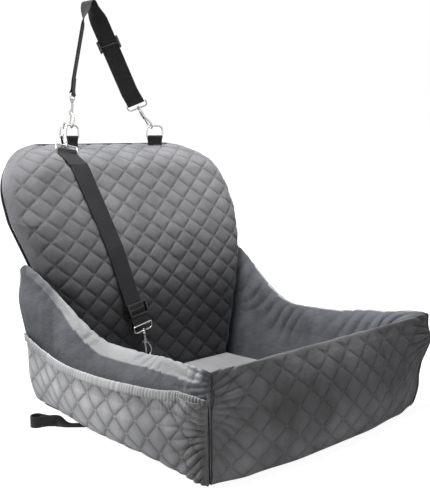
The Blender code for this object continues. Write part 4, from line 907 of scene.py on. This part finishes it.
def build_pocket(side):
    base, normal, room = pocket_surface(*fineness((250, 84)))
    along = np.repeat(arc_lengths(base, 0)[:, :1], base.shape[1], axis=1)
    down = arc_lengths(base, 1)
    distance = along[-1] - along
    u, v = lattice(along, down)
    puff = quilt_height(u, v)
    weight = rising(np.minimum(along, distance), 0, 0.008) * rising(down[:, -1:] - down, 0, 0.008)
    wobble = noise_field(base, 60.0, 51.0) * 0.5
    gathers, mouth = folds(along, wobble, sizes().gather_pitch), np.exp(-down / GATHER_REACH)
    pleats = folds(np.arctan2(down - 0.045, distance + 0.07), wobble * 0.10, 0.130)
    corner = hump(distance, 0, 0.072)
    loose = np.abs(noise_field(base, 22.0, 53.0)) * 0.0010
    slack = (gathers * mouth * GATHER_DEPTH + pleats * corner * PLEAT_DEPTH + loose) * weight
    inner = base + normal * (room + slack)[:, :, None]
    thick = POCKET_THICKNESS * (1 - 0.7 * hump(down, 0, 0.006)) - (1 - puff) * POCKET_QUILT_DEPTH * weight
    outer = inner + normal * np.maximum(thick, 0.0006)[:, :, None]
    floor = SHEET_TOP + SOFT_GAP
    outer[:, :, 2] = np.maximum(outer[:, :, 2], floor)
    inner[:, :, 2] = np.maximum(inner[:, :, 2], floor + POCKET_THICKNESS / 2)
    uv = np.stack([u, v], axis=2)
    # Painted shade mask: gathers under the hem, pleats at the corner and sewn channels darker through the puff
    # attribute.
    shown = puff * np.clip(1 - 0.75 * (mouth * (1 - gathers) + corner * (1 - pleats)), 0, 1)
    seen = np.concatenate([shown * weight + 1 - weight, np.ones_like(puff), puff[:, :1]], axis=1)
    name = "side_pocket_" + side
    body = sided(both_faces(outer, inner), side)
    mesh = cloth_mesh(name, body, uv=both_faces(uv, uv), attributes={"puff": seen})
    pocket = add_piece(name, mesh, "pocket", "pocket_" + side)


def tube_rows(centres, across, rise, sections):
    """Closed tube round a path, from the (across, rise) offsets of one section or of one for each place."""
    sections = np.asarray(sections)
    rows = centres[:, None] + across[:, None] * sections[..., :1] + rise[:, None] * sections[..., 1:]
    return np.concatenate([rows, rows[:, :1]], axis=1)


def round_tube(name, centres, across, radius, count):
    """Mesh of a round cord or wire along a path."""
    turns = np.linspace(0, 2 * pi, count, endpoint=False)
    section = np.stack([np.cos(turns), np.sin(turns)], axis=1) * radius
    return cloth_mesh(name, tube_rows(centres, across, np.cross(tangents(centres), across), section))


def build_hem(side):
    base, normal, room = pocket_surface(136, 46)
    out, rise = normal[:, 0], unit(base[:, 0] - base[:, 1])
    centre = base[:, 0] + out * (room[:, :1] + HEM_THICKNESS / 2 + HEM_STANDOFF) + rise * (HEM_WIDTH / 2 - HEM_LAP)
    packed = even_points(np.hstack([centre, out, rise]), fineness(400))
    centre, out, rise = packed[:, :3], unit(packed[:, 3:6]), unit(packed[:, 6:])
    along = arc_lengths(centre[:, None], 0)[:, 0]
    sections, ridges = [], []
    for distance in along:
        wobble = noise.noise(Vector((distance * 45.0, 1.7, 0.3))) * 0.55
        fold = abs(sin(pi * (distance / sizes().gather_pitch + wobble))) ** 0.7
        lean = noise.noise(Vector((distance * 90.0, 4.1, 0.9))) * 0.0012
        knotted = 0.5 + 0.5 * min((along[-1] - distance) / HEM_KNOT_LENGTH, 1.0)
        tall = HEM_WIDTH * 0.72 * (0.92 + 0.08 * fold) * knotted
        section = []
        for angle in np.linspace(0, 2 * pi, HEM_FACETS, endpoint=False):
            a, b = cos(angle), sin(angle)
            thick = HEM_THICKNESS / 2 * (0.20 + 1.15 * fold if a > 0 else 0.9)
            section.append((np.sign(a) * abs(a) ** 0.7 * thick + lean * b, np.sign(b) * abs(b) ** 0.8 * tall))
        sections.append(section)
        # Painted shade: the valleys between gathers and the knotted end darker through the puff attribute.
        ridges.append(fold * (2 * knotted - 1) ** 0.5)
    body = tube_rows(centre, out, rise, sections)
    seen = np.repeat(np.array(ridges)[:, None], body.shape[1], axis=1)
    name = "gathered_hem_" + side
    mesh = cloth_mesh(name, sided(body, side), attributes={"puff": seen})
    add_piece(name, mesh, "hem", "pocket_hem_" + side)


# Copies of the solids

def build_copy(node, name, finish, body="seat", bevel=0.0, sharp=40.0, subdivide=0):
    """Copy of a solid, welded, with its flat quads back and its edges softened."""
    bm = bmesh.new()
    bm.from_mesh(frame["nodes"][node].data)
    bmesh.ops.remove_doubles(bm, verts=bm.verts, dist=COPY_WELD)
    bmesh.ops.recalc_face_normals(bm, faces=bm.faces)
    bmesh.ops.join_triangles(bm, faces=bm.faces, cmp_seam=False, cmp_sharp=False, cmp_uvs=False,
                             cmp_vcols=False, cmp_materials=False, angle_face_threshold=radians(35),
                             angle_shape_threshold=radians(60))
    if bevel:
        edges = [e for e in bm.edges if len(e.link_faces) == 2 and e.calc_face_angle() > radians(sharp)]
        bmesh.ops.bevel(bm, geom=edges, offset=bevel, offset_type="OFFSET", segments=2, profile=0.5,
                        affect="EDGES", clamp_overlap=True, material=-1)
    mesh = smooth_mesh(name, bm)
    for layer in list(mesh.uv_layers):
        mesh.uv_layers.remove(layer)
    mesh.set_sharp_from_angle(angle=radians(sharp))
    return add_piece(name, mesh, finish, node, body, subdivide)


# Hardware and stage

def build_snap(group, place, eye_body):
    """Eye, hook, gate and gate spring of one snap hook, each on its own body."""
    snap, gate = group + "_snap_" + place, group + "_gate_" + place
    for part, look, body in (("eye", "cast_eye", eye_body), ("hook", "cast_hook", snap), ("gate", "gate_pin", gate)):
        build_copy(f"{group}_{part}_{place}", f"{group}_{look}_{place}", "metal", body, subdivide=1, sharp=50)
    spring = build_copy(f"{group}_spring_{place}", f"{group}_gate_spring_{place}", "metal", snap)
    joint = next(j for j in frame["joints"] if j["name"] == gate + "_slide")
    axis = Vector(joint["axis"]).normalized()
    places = [vert.co.dot(axis) for vert in spring.data.vertices]
    anchor = sum((vert.co for vert in spring.data.vertices), Vector()) / len(places)
    anchor += axis * (max(places) - anchor.dot(axis))
    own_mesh(spring)


def panel_edge(count):
    """Edge of the rear panel from one foot over the top to the other, as (across, height)."""
    top = BACK_TOP - BACK_REAR_INSET
    corner = top - BACK_CORNER_RADIUS
    foot = BASE_TOP + SOFT_GAP
    heights = list(np.linspace(foot, corner, 40)) + [mix(corner, top, sin(pi / 2 * k / 24)) for k in range(1, 25)]
    edge = []
    for z in heights:
        stretched = z + (BACK_TOP - top) * smooth((z - BACK_BEND_Z) / (top - BACK_BEND_Z))
        edge.append((back_half_width(stretched) - BACK_REAR_INSET - PIPING_RADIUS, z))
    edge += [(edge[-1][0] * s, top) for s in np.linspace(1, 0, 12)[1:]]
    mirrored = [(-x, z) for x, z in reversed(edge[:-1])]
    return even_points(edge + mirrored, count)


def build_piping():
    """Corded piping round the edge of the rear panel."""
    edge = panel_edge(240)
    along = tangents(edge)
    out = np.stack([along[:, 1], -along[:, 0]], axis=1)
    place = edge + out * np.array([1.0, 0.62]) * BACK_REAR_INSET
    centre = np.array([(x, rear_y(z) - PIPING_RADIUS * 1.45, z) for x, z in place])
    across = unit(np.cross(tangents(centre), (0.0, 1.0, 0.0)))
    mesh = round_tube("corded_piping", centre, across, PIPING_RADIUS, 12)
    add_piece("corded_piping", mesh, "cloth", "back_piping")


# Stage, with the name, place, target, width and power of each lamp
LAMPS = (("key", (-1.9, 1.4, 1.5), (-0.2, 0.1, 0.15), 1.2, 38),
         ("overhead", (-0.35, 0.1, 2.2), (0, 0.05, 0.3), 1.1, 58),
         ("front_fill", (-0.6, -2.4, 0.4), (0, 0, 0.15), 1.2, 6))
CAMERA_PLACE = (-1.035, -1.105, 0.520)
CAMERA_TILT = radians(7.9)
CAMERA_HEADING = (0.684 * cos(CAMERA_TILT), 0.729 * cos(CAMERA_TILT), -sin(CAMERA_TILT))
CAMERA_LENS = 60.57
PAPER_DROP = 0.0005
PAPER_SIZE = 30.0
PAPER_TONE = (0.36, 0.36, 0.36)
WORLD_LIGHT = 0.07


def soft_light(name, place, target, size, power):
    data = bpy.data.lights.new(name, "AREA")
    data.shape = "DISK"
    data.size = size
    data.energy = power
    lamp = linked(name, data)
    lamp.location = place
    lamp.rotation_euler = (Vector(target) - Vector(place)).to_track_quat("-Z", "Y").to_euler()


def seen_rays(tree):
    """1 for rays to the camera, in reflections and through clear things."""
    path = tree.nodes.new("ShaderNodeLightPath")
    seen = path.outputs["Is Camera Ray"]
    for ray in ("Is Glossy Ray", "Is Transmission Ray"):
        either = tree.nodes.new("ShaderNodeMath")
        either.operation = "MAXIMUM"
        tree.links.new(seen, either.inputs[0])
        tree.links.new(path.outputs[ray], either.inputs[1])
        seen = either.outputs[0]
    return seen


def white_world():
    """White to the camera and in reflections, a soft grey as light."""
    world = bpy.data.worlds.new("white_studio")
    bpy.context.scene.world = world
    world.use_nodes = True
    tree = world.node_tree
    strength = tree.nodes.new("ShaderNodeMapRange")
    tree.links.new(seen_rays(tree), strength.inputs[0])
    strength.inputs[3].default_value = WORLD_LIGHT
    strength.inputs[4].default_value = 1.0
    background = tree.nodes["Background"]
    tree.links.new(strength.outputs[0], background.inputs["Strength"])
    background.inputs["Color"].default_value = (1, 1, 1, 1)


def floor_finish():
    """Pale paper floor that keeps a soft shadow and is white to the camera elsewhere."""
    finish = Finish("white_paper")
    away = finish.node("ShaderNodeVectorMath", {0: finish.place()}, operation="LENGTH").outputs["Value"]
    glow = finish.node("ShaderNodeMapRange", {0: away, 1: 0.6, 2: 3.0, 3: 0.93, 4: 1.0}).outputs[0]
    finish.set(Base_Color=PAPER_TONE, Roughness=0.9, Emission_Color=(1.0, 1.0, 1.0),
               Emission_Strength=finish.times(seen_rays(finish.tree), glow))
    return finish.material


def build_stage():
    bm = bmesh.new()
    bmesh.ops.create_grid(bm, x_segments=1, y_segments=1, size=PAPER_SIZE)
    mesh = bpy.data.meshes.new("paper_floor")
    bm.to_mesh(mesh)
    bm.free()
    mesh.materials.append(floor_finish())
    floor = linked("paper_floor", mesh)
    floor.location.z = -PAPER_DROP
    white_world()
    for lamp in LAMPS:
        soft_light(*lamp)
    scene = bpy.context.scene
    camera = linked("camera", bpy.data.cameras.new("camera"))
    scene.camera = camera
    camera.location = CAMERA_PLACE
    camera.rotation_euler = Vector(CAMERA_HEADING).to_track_quat("-Z", "Y").to_euler()
    camera.data.lens = CAMERA_LENS
    camera.data.sensor_width = 36.0
    camera.data.clip_end = 100.0
    scene.view_settings.view_transform = "Standard"


# Webbing

WEB_WIDTH = 0.038
WEB_THICKNESS = 0.0016
LAYER_OFFSET = 0.0010
RING_WIRE_RADIUS = 0.00175
EYE_WIRE_RADIUS = 0.0019
EYE_BAR_HEIGHT = 0.0160
TAB_X = 0.110
TAB_Y = rear_y(BACK_TOP) - 0.049
TAB_FOOT_Z = BACK_TOP - 0.0044
RING_BAR_Z = TAB_FOOT_Z + 0.0174
RING_TOP_Z = RING_BAR_Z + 0.024
RING_ARCH = 0.0105
STRAP_TAIL = 0.034
STRAP_BEND = 0.026
STRAP_TURN = 0.0055
STRAP_TWIST = 0.040
STRAP_CENTRE = Vector((-0.060, TAB_Y - 0.005, RING_TOP_Z + 0.247 - STRAP_TURN))
TETHER_TAIL = 0.011
TETHER_TOP = (-0.134, BACK_TOP - 0.047)
TETHER_FOOT = (-0.080, 0.150)
TETHER_BEND_Z = BACK_BEND_Z + 0.008
TETHER_CLEARANCE = 0.0046
TETHER_SLOPE = 0.27
BASE_HALF_WIDTH = FLOOR_HALF_WIDTH + 0.047
ANCHOR_WIDTH = 0.020
ANCHOR_GAP = 0.0003
ANCHOR_Y = 0.066
ANCHOR_HEADING = radians(41.0)
ANCHOR_RUN = 0.066
ANCHOR_LOOP_RADIUS = 0.011
ANCHOR_TAIL_GAP = 0.0024
BAR_CLEARANCE = 0.0006
LEFT_WIDTH_DIRECTION = (0.684, 0.729, 0.0)
RIGHT_WIDTH_DIRECTION = (-0.729, 0.684, 0.0)
TETHER_WIDTH_DIRECTION = (1.0, -0.10, 0.0)
LEG_STEPS = 20
ARC_STEPS = 15
WIDTH_WEIGHT = 0.0001


def square_frame(place, z_axis, x_hint):
    """Frame whose z is z_axis and whose x is x_hint made square to it."""
    z, x = Vector(z_axis).normalized(), Vector(x_hint)
    x = (x - z * x.dot(z)).normalized()
    turned = Matrix((x, z.cross(x), z)).transposed().to_4x4()
    turned.translation = place
    return turned


def eye_frame(joint, width_direction):
    """Frame of a snap's eye: z along its swivel, x across the webbing."""
    swivel = next(j for j in frame["joints"] if j["name"] == joint)
    return square_frame(swivel["pos_m"], swivel["axis"], width_direction)


def bar_loop(place, bar_height, bar_radius, tail):
    """Webbing round a bar, from its tail round the bar to the main run."""
    radius = bar_radius + BAR_CLEARANCE + WEB_THICKNESS / 2
    flat = [(0, -LAYER_OFFSET, tail), (0, -LAYER_OFFSET, radius * 2.6)]
    for turn in np.radians(np.linspace(140, 400, 17)):
        flat.append((0, radius * cos(turn), radius * sin(turn)))
    flat.append((0, LAYER_OFFSET, radius * 2.6))
    return [place @ (Vector((0, 0, bar_height)) + Vector(p)) for p in flat]


def eye_loop(place, tail):
    return bar_loop(place, EYE_BAR_HEIGHT, EYE_WIRE_RADIUS, tail)


def ring_tab_path(x):
    place = Matrix.Translation((x, TAB_Y, RING_BAR_Z)) @ Matrix.Rotation(pi, 4, "X")
    tail = RING_BAR_Z - TAB_FOOT_Z
    points = bar_loop(place, 0.0, RING_WIRE_RADIUS, tail) + [place @ Vector((0, LAYER_OFFSET, tail))]
    return points, [Vector((1, 0, 0))] * len(points)


def build_ring(side):
    """D-ring: straight bar in its tab, arched over the top."""
    middle = -TAB_X if side == "left" else TAB_X
    half, top = WEB_WIDTH / 2 + RING_WIRE_RADIUS + 0.0008, RING_TOP_Z - RING_BAR_Z
    path = [(0.0, 0.0)]
    for sign, radius, start in ((1, RING_WIRE_RADIUS, -90), (1, RING_ARCH, 0), (-1, RING_ARCH, 90),
                                (-1, RING_WIRE_RADIUS, 180)):
        level = top - radius if radius == RING_ARCH else radius
        path += [(sign * (half - radius) + radius * cos(t), level + radius * sin(t))
                 for t in np.radians(np.linspace(start, start + 90, 9))]
    path = even_points(path + [(0.0, 0.0)], 120)
    centre = np.array([(middle + x, TAB_Y, RING_BAR_Z + z) for x, z in path])
    across = np.repeat([[0.0, 1.0, 0.0]], len(centre), axis=0)
    name = "plated_ring_" + side
    mesh = round_tube(name, centre, across, RING_WIRE_RADIUS, 14)
    add_piece(name, mesh, "metal", "d_ring_" + side, "ring_" + side)


def headrest_path():
    """Up one leg of the headrest strap, over its top and down the other leg."""
    left = eye_frame("strap_snap_left_swivel", LEFT_WIDTH_DIRECTION)
    right = eye_frame("strap_snap_right_swivel", RIGHT_WIDTH_DIRECTION)
    bends = [f @ Vector((0, LAYER_OFFSET, EYE_BAR_HEIGHT + STRAP_BEND)) for f in (left, right)]
    turns = []
    for bend, sign in zip(bends, (1, -1)):
        away = STRAP_CENTRE - bend
        turns.append(atan2(away.z, away.x) + sign * pi / 2)
    arc = [STRAP_CENTRE + Vector((cos(a), 0, sin(a))) * STRAP_TURN for a in np.linspace(*turns, ARC_STEPS)]
    points = eye_loop(left, STRAP_TAIL)
    points += [bends[0].lerp(arc[0], k / LEG_STEPS) for k in range(LEG_STEPS)] + arc
    middle = len(points) - ARC_STEPS // 2 - 1
    points += [arc[-1].lerp(bends[1], k / LEG_STEPS) for k in range(1, LEG_STEPS + 1)]
    points += eye_loop(right, STRAP_TAIL)[::-1]
    widths = []
    for i, point in enumerate(points):
        side = (left if i < middle else right).col[0].xyz
        share = smooth(((point - STRAP_CENTRE).length - STRAP_TURN) / STRAP_TWIST)
        widths.append(Vector((0, 1, 0)).lerp(side, share).normalized())
    return points, widths


def tether_point(z):
    """Middle of the tether: on the backrest above the bend, standing off it below."""
    x = mix(TETHER_FOOT[0], TETHER_TOP[0], (z - TETHER_FOOT[1]) / (TETHER_TOP[1] - TETHER_FOOT[1]))
    level = max(z, TETHER_BEND_Z)
    away = TETHER_CLEARANCE + max(TETHER_BEND_Z - z, 0) * TETHER_SLOPE
    return Vector((x, padding_y(level) - away, z))


def tether_path():
    upper = eye_frame("tether_snap_upper_swivel", TETHER_WIDTH_DIRECTION)
    foot = tether_point(TETHER_FOOT[1])
    lower = square_frame(foot, tether_point(TETHER_BEND_Z) - foot, (1, 0, 0))
    lower.translation = foot - lower.to_3x3() @ Vector((0, LAYER_OFFSET, EYE_BAR_HEIGHT))
    top, low = eye_loop(upper, TETHER_TAIL), eye_loop(lower, TETHER_TAIL)[::-1]
    brow = mix(top[-1].z, TETHER_TOP[1], 0.6)
    run = [top[-1], tether_point(brow), tether_point(TETHER_TOP[1])]
    run += [tether_point(mix(TETHER_TOP[1], TETHER_BEND_Z, share)) for share in (0.4, 0.85)]
    run = [Vector(p) for p in curve_through(run, 31)[1:]]
    heights = np.linspace(TETHER_BEND_Z, low[0].z + EYE_BAR_HEIGHT, 12)
    run += [tether_point(z) for z in heights]
    start, end = upper.col[0].xyz, lower.col[0].xyz
    turned = [start.lerp(end, smooth(3 * k / len(run))) for k in range(len(run))]
    return top + run + low, [start] * len(top) + turned + [end] * len(low)


def anchor_path():
    """Webbing from the left seam: flat, then turned on its edge, with an end loop."""
    along = Vector((-cos(ANCHOR_HEADING), sin(ANCHOR_HEADING), 0))
    across = Vector((along.y, -along.x, 0))
    seam = Vector((-BASE_HALF_WIDTH - ANCHOR_GAP, ANCHOR_Y, 0))
    seam += along * (ANCHOR_WIDTH / 2 * abs(along.y / along.x))
    points, widths = [], []
    for k in range(15):
        axis = across.lerp(Vector((0, 0, 1)), smooth((k / 14 - 0.42) / 0.58)).normalized()
        height = mix(0.0012, 0.0004, axis.z) + axis.z * ANCHOR_WIDTH / 2
        points.append(seam + along * (ANCHOR_RUN * k / 14) + Vector((0, 0, height)))
        widths.append(axis)
    joint = points[-1]
    centre = joint + along * ANCHOR_LOOP_RADIUS * 2
    points += [centre + (along * cos(a) + across * sin(a)) * ANCHOR_LOOP_RADIUS
               for a in np.radians(np.linspace(140, -140, 21))]
    points.append(joint + (along - across) * ANCHOR_TAIL_GAP)
    points.append(points[-1] - along * ANCHOR_LOOP_RADIUS)
    return points, widths + [Vector((0, 0, 1))] * (len(points) - len(widths))


def web_section(half_width, half_thickness):
    """Rounded section of webbing as (across, thick) places, its middle slightly fuller."""
    places = []
    for side in (-1, 1):
        places += [(-side * s * half_width, side * half_thickness * (1 - 0.10 * s * s))
                   for s in np.linspace(0.93, -0.93, 9)]
        places += [(side * half_width * reach, side * half_thickness * rise)
                   for reach, rise in ((0.99, 0.55), (1.0, 0.0), (0.99, -0.55))]
    return places


def build_webbing(node, name, body, path, width=WEB_WIDTH):
    """Webbing along a path, with a rounded edge and woven coordinates in millimetres."""
    spacing = fineness(0.0012)
    track = np.hstack([np.array(path[0]), np.array(path[1]) * WIDTH_WEIGHT])
    length = float(np.linalg.norm(np.diff(track[:, :3], axis=0), axis=1).sum())
    count = int(length / spacing)
    track = even_points(track, count)
    for _ in range(2):
        track[1:-1] = track[1:-1] / 2 + (track[:-2] + track[2:]) / 4
    centre, across = track[:, :3], track[:, 3:] / WIDTH_WEIGHT
    tangent = tangents(centre)
    across = unit(across - tangent * (across * tangent).sum(axis=1, keepdims=True))
    section = web_section(width / 2, WEB_THICKNESS / 2)
    rows = tube_rows(centre, across, np.cross(tangent, across), section)
    wide = np.array([p[0] for p in section + section[:1]]) * 1000
    along = np.linspace(0, length * 1000, count)
    mesh = cloth_mesh(name, rows, uv=np.stack(np.meshgrid(wide, along), axis=2))
    add_piece(name, mesh, "webbing", node, body)


# Operators

class SeatOperator:
    """Shared options of the builders."""

    bl_options = {"REGISTER", "UNDO"}


class DOGSEAT_OT_backrest(SeatOperator, Operator):
    """Build the quilted backrest pad"""

    bl_idname = "dog_seat.backrest"
    bl_label = "Backrest"

    def execute(self, context):
        build_back()
        build_piping()
        return {"FINISHED"}


class DOGSEAT_OT_walls(SeatOperator, Operator):
    """Build the padded walls"""

    bl_idname = "dog_seat.walls"
    bl_label = "Walls"

    def execute(self, context):
        build_side_wall("left")
        build_side_wall("right")
        build_front_wall()
        return {"FINISHED"}


class DOGSEAT_OT_floor_pad(SeatOperator, Operator):
    """Build the floor cushion"""

    bl_idname = "dog_seat.floor_pad"
    bl_label = "Floor cushion"

    def execute(self, context):
        build_floor_pad()
        return {"FINISHED"}


class DOGSEAT_OT_pockets(SeatOperator, Operator):
    """Build the side pockets and their gathered hems"""

    bl_idname = "dog_seat.pockets"
    bl_label = "Side pockets"

    def execute(self, context):
        for side in ("left", "right"):
            build_pocket(side)
            build_hem(side)
        return {"FINISHED"}


class DOGSEAT_OT_base(SeatOperator, Operator):
    """Build the base sheet, the boards and the rear cover"""

    bl_idname = "dog_seat.base"
    bl_label = "Base and rear"

    def execute(self, context):
        build_copy("base_sheet", "base_cloth", "cloth", bevel=0.0003)
        build_copy("base_board", "base_stiffener", "board", bevel=0.0004)
        build_copy("back_board", "back_stiffener", "board", bevel=0.0004)
        build_copy("back_rear_cover", "rear_cloth", "cloth", bevel=0.0003)
        return {"FINISHED"}


class DOGSEAT_OT_straps(SeatOperator, Operator):
    """Build the webbing of the straps, ring tabs and anchor loop"""

    bl_idname = "dog_seat.straps"
    bl_label = "Straps"

    def execute(self, context):
        build_webbing("headrest_strap", "headrest_webbing", "headrest_loop", headrest_path())
        build_webbing("tether_webbing", "tether_strap", "tether", tether_path())
        build_webbing("anchor_strap", "anchor_webbing", "seat", anchor_path(), ANCHOR_WIDTH)
        build_webbing("ring_tab_left", "ring_tab_webbing_left", "seat", ring_tab_path(-TAB_X))
        build_webbing("ring_tab_right", "ring_tab_webbing_right", "seat", ring_tab_path(TAB_X))
        return {"FINISHED"}


class DOGSEAT_OT_hardware(SeatOperator, Operator):
    """Build the rings, eyes, snap hooks, gates, springs and sliders"""

    bl_idname = "dog_seat.hardware"
    bl_label = "Hardware"

    def execute(self, context):
        for side in ("left", "right"):
            build_ring(side)
            build_snap("strap", side, "headrest_loop")
        for end in ("upper", "lower"):
            build_snap("tether", end, "tether")
        for run in ("strap", "tether"):
            build_copy(run + "_slider", run + "_slide_buckle", "plastic", run + "_adjuster", bevel=0.0005)
        return {"FINISHED"}


class DOGSEAT_OT_stage(SeatOperator, Operator):
    """Set up the floor, lights, world and camera"""

    bl_idname = "dog_seat.stage"
    bl_label = "Stage"

    def execute(self, context):
        build_stage()
        return {"FINISHED"}


class DOGSEAT_PT_panel(Panel):
    """Builders of the dog car seat"""

    bl_label = "Dog Car Seat"
    bl_idname = "DOGSEAT_PT_panel"
    bl_space_type = "VIEW_3D"
    bl_region_type = "UI"
    bl_category = "Dog Seat"

    def draw(self, context):
        column = self.layout.column()
        for group in (sizes(), colours()):
            for key in group.bl_rna.properties.keys():
                if key not in ("rna_type", "name"):
                    column.prop(group, key)
        for operator in OPERATORS:
            column.operator(operator.bl_idname)


OPERATORS = (DOGSEAT_OT_base, DOGSEAT_OT_backrest, DOGSEAT_OT_walls, DOGSEAT_OT_floor_pad, DOGSEAT_OT_pockets,
             DOGSEAT_OT_straps, DOGSEAT_OT_hardware, DOGSEAT_OT_stage)
CLASSES = (SeatSizes, SeatColours, *OPERATORS, DOGSEAT_PT_panel)


def register():
    for cls in CLASSES:
        bpy.utils.register_class(cls)
    bpy.types.Scene.dog_seat_sizes = PointerProperty(type=SeatSizes)
    bpy.types.Scene.dog_seat_colours = PointerProperty(type=SeatColours)


def unregister():
    del bpy.types.Scene.dog_seat_colours
    del bpy.types.Scene.dog_seat_sizes
    for cls in reversed(CLASSES):
        bpy.utils.unregister_class(cls)


def main():
    register()
    bpy.ops.dog_seat.base()
    bpy.ops.dog_seat.backrest()
    bpy.ops.dog_seat.walls()
    bpy.ops.dog_seat.floor_pad()
    bpy.ops.dog_seat.pockets()
    bpy.ops.dog_seat.straps()
    bpy.ops.dog_seat.hardware()
    bpy.ops.dog_seat.stage()


if __name__ == "__main__":
    main()
